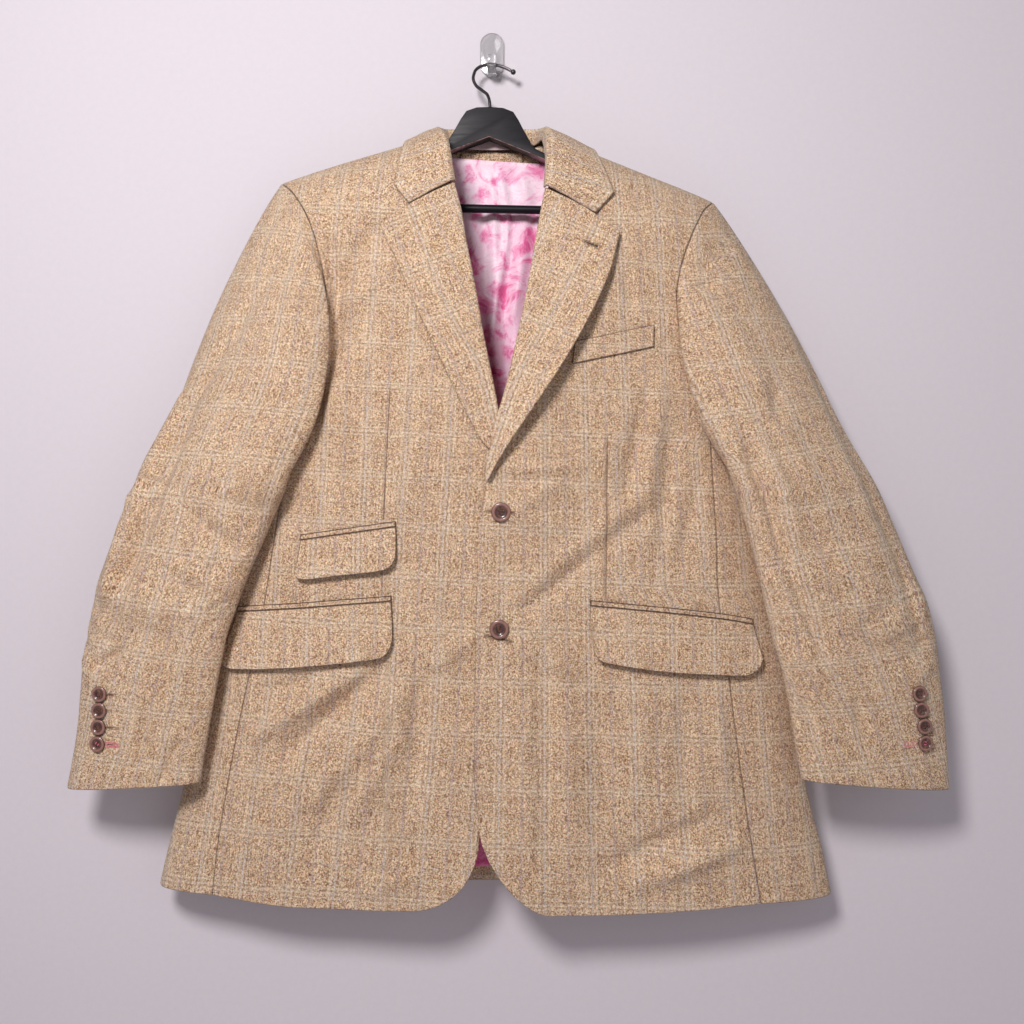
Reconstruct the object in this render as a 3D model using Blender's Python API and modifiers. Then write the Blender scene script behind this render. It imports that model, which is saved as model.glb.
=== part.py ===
"""Single-breasted tweed hacking jacket, buttoned on a flat wooden hanger that hangs
from a clear wall hook.

Metres, +Z up. The front faces -Y and the wall is the plane Y = 0. The origin is the
middle of the wall hook's back, where the wall holds it. Sizes below are millimetres.
A side is -1 for the wearer's right (-X) and +1 for the wearer's left (+X).
"""
import bisect
import math
from collections import namedtuple

import bmesh
import bpy
from mathutils import Vector

MM = 0.001

# ---------------------------------------------------------------- driving sizes (mm)
BODY_CLOTH = 2.0            # fronts: tweed with its canvas
SIDE_CLOTH = 1.8
BACK_CLOTH = 1.6
SLEEVE_CLOTH = 1.8
LINING_CLOTH = 1.0
SEAM_GAP = 0.3
SECTION_POWER = 2.5         # how boxy the body's plan section is
SLEEVE_POWER = 2.2
SHOULDER_ROUND = 75.0       # fall of the shoulder from its ridge to the flat chest
RIDGE_Y = -38.0             # the shoulder seam's plane, over the hanger

OVERLAP_LIFT = 6.6          # left front over right front, above the top button
OVERLAP_LIFT_LOW = 3.4      # the same below it
LAPEL_CLOTH = 2.4           # room it takes up over the front
LAPEL_WALL = 2.0
LAPEL_LIFT = 1.3
FLAP_CLOTH = 2.0
FLAP_LIFT = 1.2             # air behind a flap at its top
FLAP_LIFT_LOW = 2.2         # and at its free edge
JET_CLOTH = 1.2
JET_LIFT = 1.3
JET_HEIGHT = 5.5
WELT_CLOTH = 1.8
WELT_LIFT = 0.8
BAND_CLOTH = 0.8
BAND_LIFT = 1.2             # face of the neck band over the collar stand

UNDER_FOLD = 1.4            # how far a front stays back inside its lapel's fold

FRONT_COLUMNS = 10
BACK_COLUMNS = 7
HEM_ROWS = 15               # rows between the hem and the armhole
LAPEL_COLUMNS = 5

FRONT_BUTTON = 20.0         # diameters
CUFF_BUTTON = 16.4
FRONT_SHANK = 0.7           # air behind the buttons, as their thread holds them
CUFF_SHANK = 2.4
CUFF_FACING = 1.0           # how far the cuff buttons lean to the front, over the way of the cloth
FRONT_BUTTONS = ((11, -504), (9, -623))    # x and z of each
CUFF_BUTTONS = {-1: ((398.5, -690), (398.8, -706.8), (399.7, -723.7), (400.8, -741)),
                1: ((437, -689.3), (438.9, -706.1), (442.6, -722.9), (443.6, -740.3))}
HANGER_Y = -36.5
HANGER_THICKNESS = 17.0
BAR_DIAMETER = 9.0
WIRE_DIAMETER = 3.4

# Plan sections of the body: half widths to each side and the depths of its surfaces.
Section = namedtuple("Section", "z right left front back side")
BODY = (
    Section(-935, 361, 368, -87, -12, -38),
    Section(-867, 346, 354, -90, -12, -38),
    Section(-795, 328, 336, -93, -13, -39),
    Section(-700, 308, 323, -95, -15, -40),
    Section(-600, 285, 302, -98, -18, -41),
    Section(-510, 262, 281, -101, -19, -42),
    Section(-405, 246, 256, -103, -14, -42),
    Section(-250, 239, 247, -98, -10, -41),
    Section(-90, 236, 244, -82, -12, -40),
)

# Height of the shoulder ridge over distance from the centre.
Ridge = namedtuple("Ridge", "x right left")
SHOULDER = (
    Ridge(0, -86, -86),
    Ridge(60, -103, -103),
    Ridge(107, -117, -121),
    Ridge(165, -134, -144),
    Ridge(225, -153, -167.5),
    Ridge(270, -170, -188),
)

# Height of the hem over distance from the centre, front and back.
Hem = namedtuple("Hem", "x right_front left_front right_back left_back")
HEM = (
    Hem(0, -913, -917, -906, -906),
    Hem(100, -915, -920, -906, -907),
    Hem(200, -913, -917, -904, -908),
    Hem(290, -903, -911, -900, -909),
    Hem(370, -894, -908, -894, -908),
)

# Rounded front quarters: where the curve starts, its reach, rise and fullness.
Quarter = namedtuple("Quarter", "start reach rise power")
QUARTER = {-1: Quarter(-84, 73, 84, 2.3), 1: Quarter(60, 72, 90, 1.6)}

# Front edges from the hem up: height of the row (0 hem, 1 chest) and x of the edge.
Edge = namedtuple("Edge", "row x")
RIGHT_EDGE = (Edge(0, -11), Edge(0.1, -1), Edge(0.25, 14), Edge(0.4, 26), Edge(0.5, 30), Edge(0.56, 30))
LEFT_EDGE = (Edge(0, -12), Edge(0.08, -16.5), Edge(0.2, -16), Edge(0.42, -13), Edge(0.5, -10.5))

# Roll lines from the button to the neck, then the neck edge under the collar.
Roll = namedtuple("Roll", "x z")
RIGHT_ROLL = (Roll(21, -452), Roll(8, -407), Roll(4, -385), Roll(-10, -318), Roll(-25, -236),
              Roll(-33, -192), Roll(-40, -164), Roll(-47, -140), Roll(-56, -122), Roll(-66, -106))
LEFT_ROLL = (Roll(-9, -492), Roll(-3, -456), Roll(8, -408), Roll(22, -359), Roll(35, -303),
             Roll(45, -242), Roll(53, -198), Roll(58, -170), Roll(64, -140), Roll(66, -122), Roll(69, -107))

# Seam between front and side panel, and between side panel and back, from the hem up.
Seam = namedtuple("Seam", "z front back")
SIDE_SEAMS = {
    -1: (Seam(-900, 290, 322), Seam(-856, 285, 314), Seam(-762, 269, 297), Seam(-670, 250, 276),
         Seam(-595, 234, 258), Seam(-512, 221, 240), Seam(-466, 213, 234), Seam(-400, 205, 228)),
    1: (Seam(-912, 281, 330), Seam(-833, 268, 318), Seam(-765, 258, 304), Seam(-672, 246, 290),
        Seam(-574, 234, 270), Seam(-500, 231, 255), Seam(-429, 228, 243), Seam(-392, 223, 238)),
}

# The armhole, counted round from the shoulder tip (0) by the front (90) and the underarm
# (235) to the back. face says which surface the point is on.
Arm = namedtuple("Arm", "turn x z face")
ARMHOLE = {
    -1: (Arm(0, 224, -153.2, "ridge"), Arm(24, 212, -164, "front"), Arm(50, 191, -196, "front"),
         Arm(80, 178, -234, "front"), Arm(112, 170, -276, "front"), Arm(142, 169, -317, "front"),
         Arm(172, 176, -358, "front"), Arm(190, 191, -386, "front"), Arm(205, 208, -400, "front"),
         Arm(220, 232, -408, "front"), Arm(235, 246, -409, "side"), Arm(247, 237, -402, "back"),
         Arm(262, 222, -372, "back"), Arm(278, 207, -330, "back"), Arm(296, 199, -280, "back"),
         Arm(316, 199, -230, "back"), Arm(336, 206, -188, "back"), Arm(350, 216, -164, "back")),
    1: (Arm(0, 237, -173, "ridge"), Arm(24, 226, -184, "front"), Arm(50, 207, -221, "front"),
        Arm(80, 196, -254, "front"), Arm(112, 192, -283, "front"), Arm(142, 195, -316, "front"),
        Arm(172, 204, -347, "front"), Arm(190, 213, -373, "front"), Arm(205, 226, -393, "front"),
        Arm(220, 243, -403, "front"), Arm(235, 256, -406, "side"), Arm(247, 248, -399, "back"),
        Arm(262, 234, -374, "back"), Arm(278, 220, -338, "back"), Arm(296, 212, -292, "back"),
        Arm(316, 212, -246, "back"), Arm(336, 219, -206, "back"), Arm(350, 229, -183, "back")),
}
TOP_TURNS = (0, 10, 24, 38, 54, 72, 92, 113, 134, 155, 174, 190)   # columns of the top sleeve
UNDER_TURNS = (190, 205, 220, 235, 247, 262, 278, 296, 316, 336, 350, 360)
FRONT_SEAM_TURN = 205       # where the side panel's front seam meets the armhole
BACK_SEAM_TURN = 247

# Sleeve sections from below the underarm to the cuff: outer and inner edge, and how far
# the cloth stands in front of and behind the line between them.
Arms = namedtuple("Arms", "outer_x outer_z inner_x inner_z outer_y inner_y front back")
SLEEVE = {
    -1: (Arms(361, -463, 213, -489, -66, -99, 30, 44), Arms(384, -512, 229, -527, -66, -99, 29, 42),
         Arms(402, -556, 245, -564, -67, -99, 28, 38), Arms(414, -594, 258, -596, -68, -98, 27, 34),
         Arms(421, -636, 270, -632, -69, -97, 24, 31), Arms(427, -676, 278, -672, -70, -95, 22, 28),
         Arms(431, -729, 289, -728, -71, -92, 20, 25), Arms(441, -791, 298, -781, -72, -90, 18, 21)),
    1: (Arms(404, -478, 250, -482, -66, -99, 30, 44), Arms(424, -526, 262, -522, -66, -99, 29, 42),
        Arms(443, -570, 273, -565, -67, -99, 28, 38), Arms(458, -606, 281, -602, -68, -98, 27, 34),
        Arms(465, -640, 290, -640, -69, -97, 25, 31), Arms(469, -680, 301, -678, -70, -96, 23, 28),
        Arms(473, -730, 310, -732, -71, -93, 21, 25), Arms(477, -792, 319, -778, -72, -91, 19, 21)),
}
HEAD_RINGS = (0.0, 0.05, 0.14, 0.27, 0.42, 0.6, 0.8)
ARM_RINGS = (0.0, 0.6, 1.3, 2.0, 2.6, 3.2, 3.9, 4.6, 5.4, 6.2, 7.0)
HEAD_FULLNESS = 9.0         # how far the sleeve head swells past a straight fall
SLEEVE_CLEAR = 6.5          # air between sleeve and body
SLEEVE_GAP = 0.5            # at the armhole seam
OWN_PULL = 90.0             # how strongly the under sleeve keeps to its own part of the body
RIDGE_ROW = 1.985           # last row of a panel, just off the shoulder seam

# Collar sections from the gorge to the centre back: fold line, free edge and stand.
Fold = namedtuple("Fold", "fold_x fold_y fold_z edge_x edge_z face stand_x stand_y stand_z")
COLLAR = {
    -1: (Fold(39, -97, -165.8, 83.5, -188.6, "front", 37, -91, -165.8),
         Fold(41, -95, -153, 98.6, -168.9, "front", 39, -89, -153),
         Fold(43, -89, -134, 95.5, -148, "front", 42, -81, -138),
         Fold(48, -71, -110, 92, -127.5, "front", 46, -64, -122),
         Fold(55, -47, -96, 90, -114, "ridge", 53, -43, -108),
         Fold(50, -26, -90, 82, -131, "back", 47, -23.5, -107),
         Fold(33, -18.5, -88, 60, -137, "back", 31, -22.5, -109),
         Fold(16, -15.5, -88, 30, -139, "back", 15, -21, -110),
         Fold(0, -14.5, -88, 0, -139, "back", 0, -20.5, -110)),
    1: (Fold(58, -99, -172, 107, -198.6, "front", 56, -92, -172),
        Fold(59, -97, -158, 126, -176.6, "front", 57, -90, -159),
        Fold(60, -90, -136, 119, -155, "front", 58, -82, -140),
        Fold(60, -71, -110, 112.5, -137.5, "front", 57, -64, -123),
        Fold(57, -47, -96, 107, -120, "ridge", 54, -43, -108),
        Fold(50, -26, -90, 88, -134, "back", 47, -23.5, -107),
        Fold(33, -18.5, -88, 60, -138, "back", 31, -22.5, -109),
        Fold(16, -15.5, -88, 30, -139, "back", 15, -21, -110)),
}
COLLAR_CLOTH = 2.2
COLLAR_LIFT = 3.2

# Lapels from the gorge down: fold line, outer edge and how far that edge stands off.
Lapel = namedtuple("Lapel", "fold_x fold_z edge_x edge_z stand")
LAPEL = {
    -1: (Lapel(-39, -167.3, -113, -208.5, 1.0), Lapel(-32, -196, -107, -225, 1.0),
         Lapel(-27, -226, -97, -244, 1.4), Lapel(-18, -272, -74, -298, 2.0),
         Lapel(-8, -328, -46, -359, 2.0), Lapel(3, -380, -20, -412, 1.2),
         Lapel(9, -410, -7, -434, 0.2), Lapel(17, -438, 9, -449, 0.0)),
    1: (Lapel(58, -173.6, 132, -218.5, 2.0), Lapel(53, -200, 127, -235, 2.5),
        Lapel(48, -228, 121, -257, 3.5), Lapel(40, -275, 97, -311, 6.0),
        Lapel(29, -328, 69, -360, 8.0), Lapel(17, -380, 39, -405, 7.0),
        Lapel(6, -416, 14, -442, 4.0), Lapel(-4, -462, -4, -474, 1.0)),
}

# Flaps, jets and welt: the top and bottom line of each, column by column.
Flap = namedtuple("Flap", "top_x top_z low_x low_z")
RIGHT_HIP = (Flap(-263, -608, -282, -668), Flap(-230, -605.5, -245, -666.5), Flap(-195, -603, -205, -664),
             Flap(-160, -600, -165, -660), Flap(-130, -597.5, -130, -656), Flap(-111, -596, -110, -652),
             Flap(-101, -595, -99, -640))
LEFT_HIP = (Flap(102, -600, 104, -645), Flap(112, -601, 113, -656), Flap(140, -603.5, 141, -662),
            Flap(180, -607.5, 183, -668), Flap(215, -611.5, 223, -671), Flap(250, -616.5, 260, -673),
            Flap(272, -621, 281, -664))
TICKET = (Flap(-195, -533, -200, -575), Flap(-170, -529.5, -172, -571.5), Flap(-145, -526, -145, -568),
          Flap(-120, -522.5, -118, -565), Flap(-106, -520.5, -105, -562), Flap(-96, -519, -95.5, -553))
WELT = (Flap(86, -330, 83, -353.5), Flap(112, -325, 111, -347.5), Flap(140, -318.5, 139, -341.5),
        Flap(166, -313, 167, -335))

# Soft creases of the body's front: from, to, half width and height (out is positive).
Crease = namedtuple("Crease", "x0 z0 x1 z1 width height")
BODY_CREASES = (
    Crease(30, -500, 130, -430, 20, 2.5), Crease(60, -560, 150, -640, 26, -2.5),
    Crease(-40, -520, -140, -470, 24, 2.0), Crease(-60, -640, -160, -780, 30, 2.5),
    Crease(40, -680, 60, -880, 30, 3.0), Crease(180, -700, 215, -880, 26, 3.5),
    Crease(-225, -690, -250, -880, 22, 3.0), Crease(120, -700, 135, -900, 24, -2.5),
    Crease(-130, -700, -150, -900, 26, -2.5), Crease(150, -230, 120, -320, 24, 2.5),
    Crease(-140, -230, -115, -320, 24, 2.0), Crease(205, -480, 240, -560, 14, 3.5),
)
# Soft creases of the back.
BACK_CREASES = (
    Crease(90, -330, 110, -560, 34, 3.0), Crease(-100, -330, -110, -560, 34, 3.0),
    Crease(60, -640, 80, -880, 32, 3.0), Crease(-150, -620, -190, -880, 32, 3.0),
    Crease(180, -640, 230, -880, 30, 2.5), Crease(-30, -560, -40, -860, 28, -2.0),
)
# Creases of the sleeves: from and to as (section, turn), half width and height.
Pleat = namedtuple("Pleat", "ring0 turn0 ring1 turn1 width height")
SLEEVE_CREASES = {
    -1: (Pleat(2.2, 20, 3.4, 110, 0.30, 4.0), Pleat(3.0, 10, 4.2, 80, 0.26, -3.0),
         Pleat(4.0, 20, 5.4, 60, 0.30, 3.0), Pleat(1.0, 130, 2.4, 60, 0.30, -2.5),
         Pleat(1.2, 220, 2.6, 320, 0.40, 4.0), Pleat(3.2, 230, 4.2, 320, 0.35, -3.5)),
    1: (Pleat(2.4, 30, 3.6, 110, 0.30, 4.0), Pleat(3.4, 20, 4.4, 90, 0.26, -3.5),
        Pleat(4.2, 60, 5.6, 30, 0.30, 3.0), Pleat(0.6, 120, 2.2, 70, 0.30, -2.5),
        Pleat(1.4, 220, 2.4, 320, 0.40, 4.0), Pleat(3.0, 320, 4.4, 230, 0.35, -3.5)),
}
# Folds of the back lining seen in the neck.
LINING_CREASES = (
    Crease(-26, -130, -20, -420, 9, 5.0), Crease(2, -120, 6, -470, 7, 6.0),
    Crease(28, -150, 24, -500, 8, 5.0), Crease(-8, -150, -6, -420, 6, -3.0),
    Crease(48, -170, 44, -420, 9, -3.0), Crease(-48, -180, -46, -420, 10, 3.0),
    Crease(-90, -240, -96, -820, 16, 4.0), Crease(90, -260, 98, -820, 16, 4.0),
    Crease(0, -560, -4, -860, 9, 4.0),
)

COLOURS = {
    "tweed": ((0.50, 0.35, 0.22), 0.9, 0.0),
    "lining": ((0.92, 0.33, 0.52), 0.45, 0.0),
    "band": ((0.90, 0.80, 0.80), 0.8, 0.0),
    "horn": ((0.13, 0.055, 0.035), 0.3, 0.0),
    "wood": ((0.02, 0.018, 0.02), 0.4, 0.0),
    "wire": ((0.10, 0.09, 0.09), 0.3, 1.0),
    "clear": ((0.85, 0.87, 0.90), 0.1, 0.0),
}


# ---------------------------------------------------------------- curves through tables
class Line:
    """Smooth curve through a table that never swings past its own points."""

    def __init__(self, places, values):
        order = sorted(range(len(places)), key=lambda i: places[i])
        self.x = [float(places[i]) for i in order]
        self.y = [float(values[i]) for i in order]
        steps = [(self.y[i + 1] - self.y[i]) / (self.x[i + 1] - self.x[i]) for i in range(len(order) - 1)]
        self.slope = [steps[0]]
        for before, after in zip(steps, steps[1:]):
            flat = before * after <= 0
            self.slope.append(0.0 if flat else 2 * before * after / (before + after))
        self.slope.append(steps[-1])

    def __call__(self, at):
        if at <= self.x[0]:
            return self.y[0] + self.slope[0] * (at - self.x[0])
        if at >= self.x[-1]:
            return self.y[-1] + self.slope[-1] * (at - self.x[-1])
        i = bisect.bisect_right(self.x, at) - 1
        span = self.x[i + 1] - self.x[i]
        t = (at - self.x[i]) / span
        rise = self.y[i + 1] - self.y[i]
        bend = (self.slope[i] * span - rise) * (1 - t) + (rise - self.slope[i + 1] * span) * t
        return self.y[i] + rise * t + t * (1 - t) * bend


def column(table, place, value):
    return Line([getattr(row, place) for row in table], [getattr(row, value) for row in table])


def between(a, b, t):
    return a + (b - a) * t


def ease(t):
    t = min(max(t, 0.0), 1.0)
    return t * t * (3 - 2 * t)


WIDTH = {-1: column(BODY, "z", "right"), 1: column(BODY, "z", "left")}
BACK_NECK = Line((0, 20, 40, 56, 70, 80), (26, 23, 14, 6, 0, 0))    # fall of the back neck below the ridge
FRONT_Y = column(BODY, "z", "front")
BACK_Y = column(BODY, "z", "back")
SIDE_Y = column(BODY, "z", "side")
RIDGE = {-1: column(SHOULDER, "x", "right"), 1: column(SHOULDER, "x", "left")}
FRONT_HEM = {-1: column(HEM, "x", "right_front"), 1: column(HEM, "x", "left_front")}
BACK_HEM = {-1: column(HEM, "x", "right_back"), 1: column(HEM, "x", "left_back")}


# ---------------------------------------------------------------- the body's surface
def round_of(x, side, z):
    """Place round the section, 0 at the centre front and 0.5 at the side, of a front x."""
    reach = min(abs(x) / WIDTH[side](z), 1.0)
    return math.asin(reach ** (SECTION_POWER / 2)) / math.pi


def body_point(side, around, z):
    """Point of the jacket's outside, around from 0 at centre front to 1 at centre back."""
    angle = math.pi * abs(around)
    power = 2 / SECTION_POWER
    out = WIDTH[side](z) * abs(math.sin(angle)) ** power
    x = side * (out if 0 <= around <= 1 else -out)
    face = FRONT_Y(z) if abs(around) < 0.5 else BACK_Y(z)
    y = between(SIDE_Y(z), face, abs(math.cos(angle)) ** power)
    fall = min(max((RIDGE[side](out) - z) / SHOULDER_ROUND, 0.0), 1.0)
    y = RIDGE_Y + (y - RIDGE_Y) * math.sqrt(1 - (1 - fall) ** 2)
    return Vector((x, y, z))


def below_ridge(side, out, fall):
    """Height at a walk of fall from the ridge: 0 on it, 1 where the round ends."""
    if fall < 1:
        return RIDGE[side](out) - SHOULDER_ROUND * (1 - math.cos(fall * math.pi / 2))
    return RIDGE[side](out) - SHOULDER_ROUND - (fall - 1) * SHOULDER_ROUND * math.pi / 2


def fall_of(side, out, z):
    depth = RIDGE[side](out) - z
    if depth < SHOULDER_ROUND:
        return 2 / math.pi * math.acos(1 - max(depth, 0.0) / SHOULDER_ROUND)
    return 1 + (depth - SHOULDER_ROUND) / (SHOULDER_ROUND * math.pi / 2)


def body_normal(side, around, z):
    step_round = 0.006
    step_fall = 0.03
    width = WIDTH[side](z)

    def sample(turn, fall):
        out = width * abs(math.sin(math.pi * abs(turn))) ** (2 / SECTION_POWER)
        return body_point(side, turn, below_ridge(side, out, max(fall, 0.0)))

    out = width * abs(math.sin(math.pi * abs(around))) ** (2 / SECTION_POWER)
    fall = fall_of(side, out, z)
    across = sample(around + step_round, fall) - sample(around - step_round, fall)
    down = sample(around, fall + step_fall) - sample(around, fall - step_fall)
    normal = across.cross(down) * -side
    return normal.normalized()


def crease_height(table, x, z):
    """Sum of soft ridges and hollows that fade out at their ends."""
    total = 0.0
    for c in table:
        run = Vector((c.x1 - c.x0, c.z1 - c.z0))
        place = Vector((x - c.x0, z - c.z0))
        along = place.dot(run) / run.length_squared
        off = (place - run * min(max(along, 0.0), 1.0)).length
        fade = math.sin(math.pi * min(max((along + 0.25) / 1.5, 0.0), 1.0))
        total += c.height * fade * math.exp(-(off / c.width) ** 2)
    return total


def on_body(side, around, z, lift=0.0):
    """Outside of the cloth with its creases, moved out by lift, and the way out."""
    place = body_point(side, around, z)
    normal = body_normal(side, around, z)
    if abs(around) < 0.5:
        height = crease_height(BODY_CREASES, place.x, z)
    else:
        height = crease_height(BACK_CREASES, place.x, z)
    height *= ease((RIDGE[side](abs(place.x)) - z) / SHOULDER_ROUND)
    height *= ease(abs(abs(around) - 0.5) / 0.12)
    return place + normal * (height + lift), normal


def on_front(x, z, lift=0.0, side=None):
    """The same for a place of the front given by its x and z."""
    side = side or (-1 if x < 0 else 1)
    around = round_of(x, side, z)
    return on_body(side, math.copysign(around, x * side), z, lift)


# ---------------------------------------------------------------- meshes
def collection(name):
    made = bpy.data.collections.new(name)
    bpy.context.scene.collection.children.link(made)
    return made


def material(name):
    found = bpy.data.materials.get(name)
    if found:
        return found
    colour, roughness, metallic = COLOURS[name]
    made = bpy.data.materials.new(name)
    made.use_nodes = True
    shader = made.node_tree.nodes["Principled BSDF"]
    shader.inputs["Base Color"].default_value = (*colour, 1.0)
    shader.inputs["Roughness"].default_value = roughness
    shader.inputs["Metallic"].default_value = metallic
    return made


def add_mesh(name, mesh, look, into):
    made = bpy.data.objects.new(name, mesh)
    mesh.materials.clear()
    mesh.materials.append(material(look))
    into.objects.link(made)
    return made


def wall(name, grid, thickness, look, into):
    """Cloth wall from a grid of (outside point, way out) in rows; the inside is behind it."""
    build = bmesh.new()
    rows = len(grid)
    columns = len(grid[0])
    outside = [[build.verts.new(p * MM) for p, _ in row] for row in grid]
    inside = [[build.verts.new((p - n * thickness) * MM) for p, n in row] for row in grid]
    for i in range(rows - 1):
        for j in range(columns - 1):
            build.faces.new((outside[i][j], outside[i][j + 1], outside[i + 1][j + 1], outside[i + 1][j]))
            build.faces.new((inside[i][j], inside[i + 1][j], inside[i + 1][j + 1], inside[i][j + 1]))
    rim = [(0, j) for j in range(columns)]
    rim += [(i, columns - 1) for i in range(1, rows)]
    rim += [(rows - 1, j) for j in range(columns - 2, -1, -1)]
    rim += [(i, 0) for i in range(rows - 2, 0, -1)]
    for (a, b), (c, d) in zip(rim, rim[1:] + rim[:1]):
        build.faces.new((outside[c][d], outside[a][b], inside[a][b], inside[c][d]))
    bmesh.ops.recalc_face_normals(build, faces=build.faces)
    if build.calc_volume(signed=True) < 0:
        bmesh.ops.reverse_faces(build, faces=build.faces)
    mesh = bpy.data.meshes.new(name)
    build.to_mesh(mesh)
    build.free()
    mesh.shade_smooth()
    mesh.set_sharp_from_angle(angle=math.radians(40))
    return add_mesh(name, mesh, look, into)


# ---------------------------------------------------------------- armhole
def armhole_place(side, turn):
    """(around, z) of the armhole at a turn; front and back meet on the ridge at turn 0."""
    turn = turn % 360
    rows = ARMHOLE[side]
    tip = rows[0]
    front_tip = round_of(tip.x, side, tip.z)
    turns = [a.turn for a in rows] + [360]
    heights = [a.z for a in rows] + [tip.z]
    arounds = []
    for a in rows:
        around = round_of(a.x, side, a.z)
        arounds.append(0.5 if a.face == "side" else 1 - around if a.face == "back" else around)
    arounds.append(1 - front_tip)
    return Line(turns, arounds)(turn), Line(turns, heights)(turn)


# ---------------------------------------------------------------- rows of the panels
def hem_height(side, x, back=False):
    """Height of the hem, with the rounded quarter of the front."""
    out = x * side
    if back:
        return BACK_HEM[side](abs(out))
    base = FRONT_HEM[side](max(out, 0.0))
    q = QUARTER[side]
    into = (x - q.start) * -side
    t = min(max(into / q.reach, 0.0), 1.0)
    return base + q.rise * (1 - (1 - t ** q.power) ** (1 / q.power))


def row_height(side, x, row, back=False):
    """Height of a row: 0 the hem, 1 where the shoulder's round begins, 2 its ridge."""
    out = abs(x)
    if row <= 1:
        return between(hem_height(side, x, back), RIDGE[side](out) - SHOULDER_ROUND, row)
    return below_ridge(side, out, 2 - row)


def row_of(side, x, z, back=False):
    out = abs(x)
    low = hem_height(side, x, back)
    high = RIDGE[side](out) - SHOULDER_ROUND
    if z <= high:
        return (z - low) / (high - low)
    return 2 - fall_of(side, out, z)


def seam_x(side, which, z):
    return column(SIDE_SEAMS[side], "z", which)(z)


def seam_row_x(side, which, row):
    """Where a side seam crosses a row."""
    back = which == "back"
    z = row_height(side, side * 280, row, back)
    for _ in range(8):
        x = seam_x(side, which, z)
        z = row_height(side, side * x, row, back)
    return x, z


def side_rows(side, which):
    """(x, z, row) down one side seam and up the armhole to the shoulder tip."""
    back = which == "back"
    turn = BACK_SEAM_TURN if back else FRONT_SEAM_TURN
    turns = [t for t in UNDER_TURNS + TOP_TURNS if (t >= turn if back else turn >= t > 0)]
    turns = sorted(set(turns), reverse=not back)
    if back:
        turns = [t for t in turns if t < 360]
    around, z = armhole_place(side, turn)
    x = body_point(side, around, z).x
    top = row_of(side, x, z, back)
    found = []
    for i in range(HEM_ROWS):
        row = top * i / HEM_ROWS
        x, z = seam_row_x(side, which, row)
        found.append((side * x, z, row))
    for turn in turns:
        around, z = armhole_place(side, turn)
        x = body_point(side, around, z).x
        found.append((x, z, row_of(side, x, z, back)))
    tip = ARMHOLE[side][0]
    found.append((side * tip.x, tip.z, 2.0))
    return found


def edge_line(side):
    """x of a front's own edge over the rows, up the roll line to the neck."""
    edge = RIGHT_EDGE if side < 0 else LEFT_EDGE
    roll = RIGHT_ROLL if side < 0 else LEFT_ROLL
    rows = [e.row for e in edge]
    xs = [e.x for e in edge]
    for r in roll:
        rows.append(row_of(side, r.x, r.z))
        xs.append(r.x)
    rows.append(2.0)
    xs.append(roll[-1].x + side * 1.0)
    return Line(rows, xs)


def overlap_lift(side, x, z):
    """How far a front stands out near the centre, where the left lies over the right."""
    if side < 0:
        return 0.0
    full = between(OVERLAP_LIFT_LOW, OVERLAP_LIFT, ease((z + 560) / 70))
    upper = ease((z + 300) / 90)
    return full * ease((92 - x) / 55) * (1 - upper)


def front_panel(side, into):
    name = "front_right" if side < 0 else "front_left"
    edge = edge_line(side)
    grid = []
    for x_out, _, row in side_rows(side, "front"):
        row = min(row, RIDGE_ROW)
        x_out -= side * SEAM_GAP / 2
        x_in = edge(row) + side * UNDER_FOLD * ease((row - 0.47) / 0.06)
        line = []
        for j in range(FRONT_COLUMNS + 1):
            t = j / FRONT_COLUMNS
            t = 1 - (1 - t) ** 1.25
            x = between(x_out, x_in, t)
            z = row_height(side, x, row)
            point, normal = on_front(x, z, 0.0, side)
            point += normal * overlap_lift(side, x, z)
            line.append((point, normal))
        grid.append(line)
    return wall(name, grid, BODY_CLOTH, "tweed", into)


def back_panel(side, into):
    name = "back_right" if side < 0 else "back_left"
    grid = []
    for x_out, _, row in side_rows(side, "back"):
        line = []
        for j in range(BACK_COLUMNS + 1):
            t = j / BACK_COLUMNS
            x = between(x_out - side * SEAM_GAP / 2, side * SEAM_GAP / 2, t)
            top = 2 - fall_of(side, abs(x), RIDGE[side](abs(x)) - BACK_NECK(abs(x)))
            own = row if row < 1 else 1 + (row - 1) * (min(top, RIDGE_ROW) - 1)
            z = row_height(side, x, own, back=True)
            around = 1 - round_of(x, side, z)
            line.append(on_body(side, around, z))
        grid.append(line)
    return wall(name, grid, BACK_CLOTH, "tweed", into)


def side_panel(side, into):
    name = "side_panel_right" if side < 0 else "side_panel_left"
    turns = [t for t in UNDER_TURNS if FRONT_SEAM_TURN <= t <= BACK_SEAM_TURN]
    tops = [armhole_place(side, t) for t in turns]
    front = side_rows(side, "front")[:HEM_ROWS + 1]
    back = side_rows(side, "back")[:HEM_ROWS + 1]
    grid = []
    for i, ((xf, zf, _), (xb, zb, _)) in enumerate(zip(front, back)):
        start = round_of(xf, side, zf)
        end = 1 - round_of(xb, side, zb)
        line = []
        for j, (around_top, z_top) in enumerate(tops):
            t = (around_top - tops[0][0]) / (tops[-1][0] - tops[0][0])
            gap = SEAM_GAP / 2 / (WIDTH[side](zf) * 1.2) * 1.3
            around = between(start + gap, end - gap, t)
            scoop = z_top - between(tops[0][1], tops[-1][1], t)
            z = between(zf, zb, t) + scoop * (i / HEM_ROWS) ** 3
            line.append(on_body(side, around, z))
        grid.append(line)
    return wall(name, grid, SIDE_CLOTH, "tweed", into)


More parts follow.
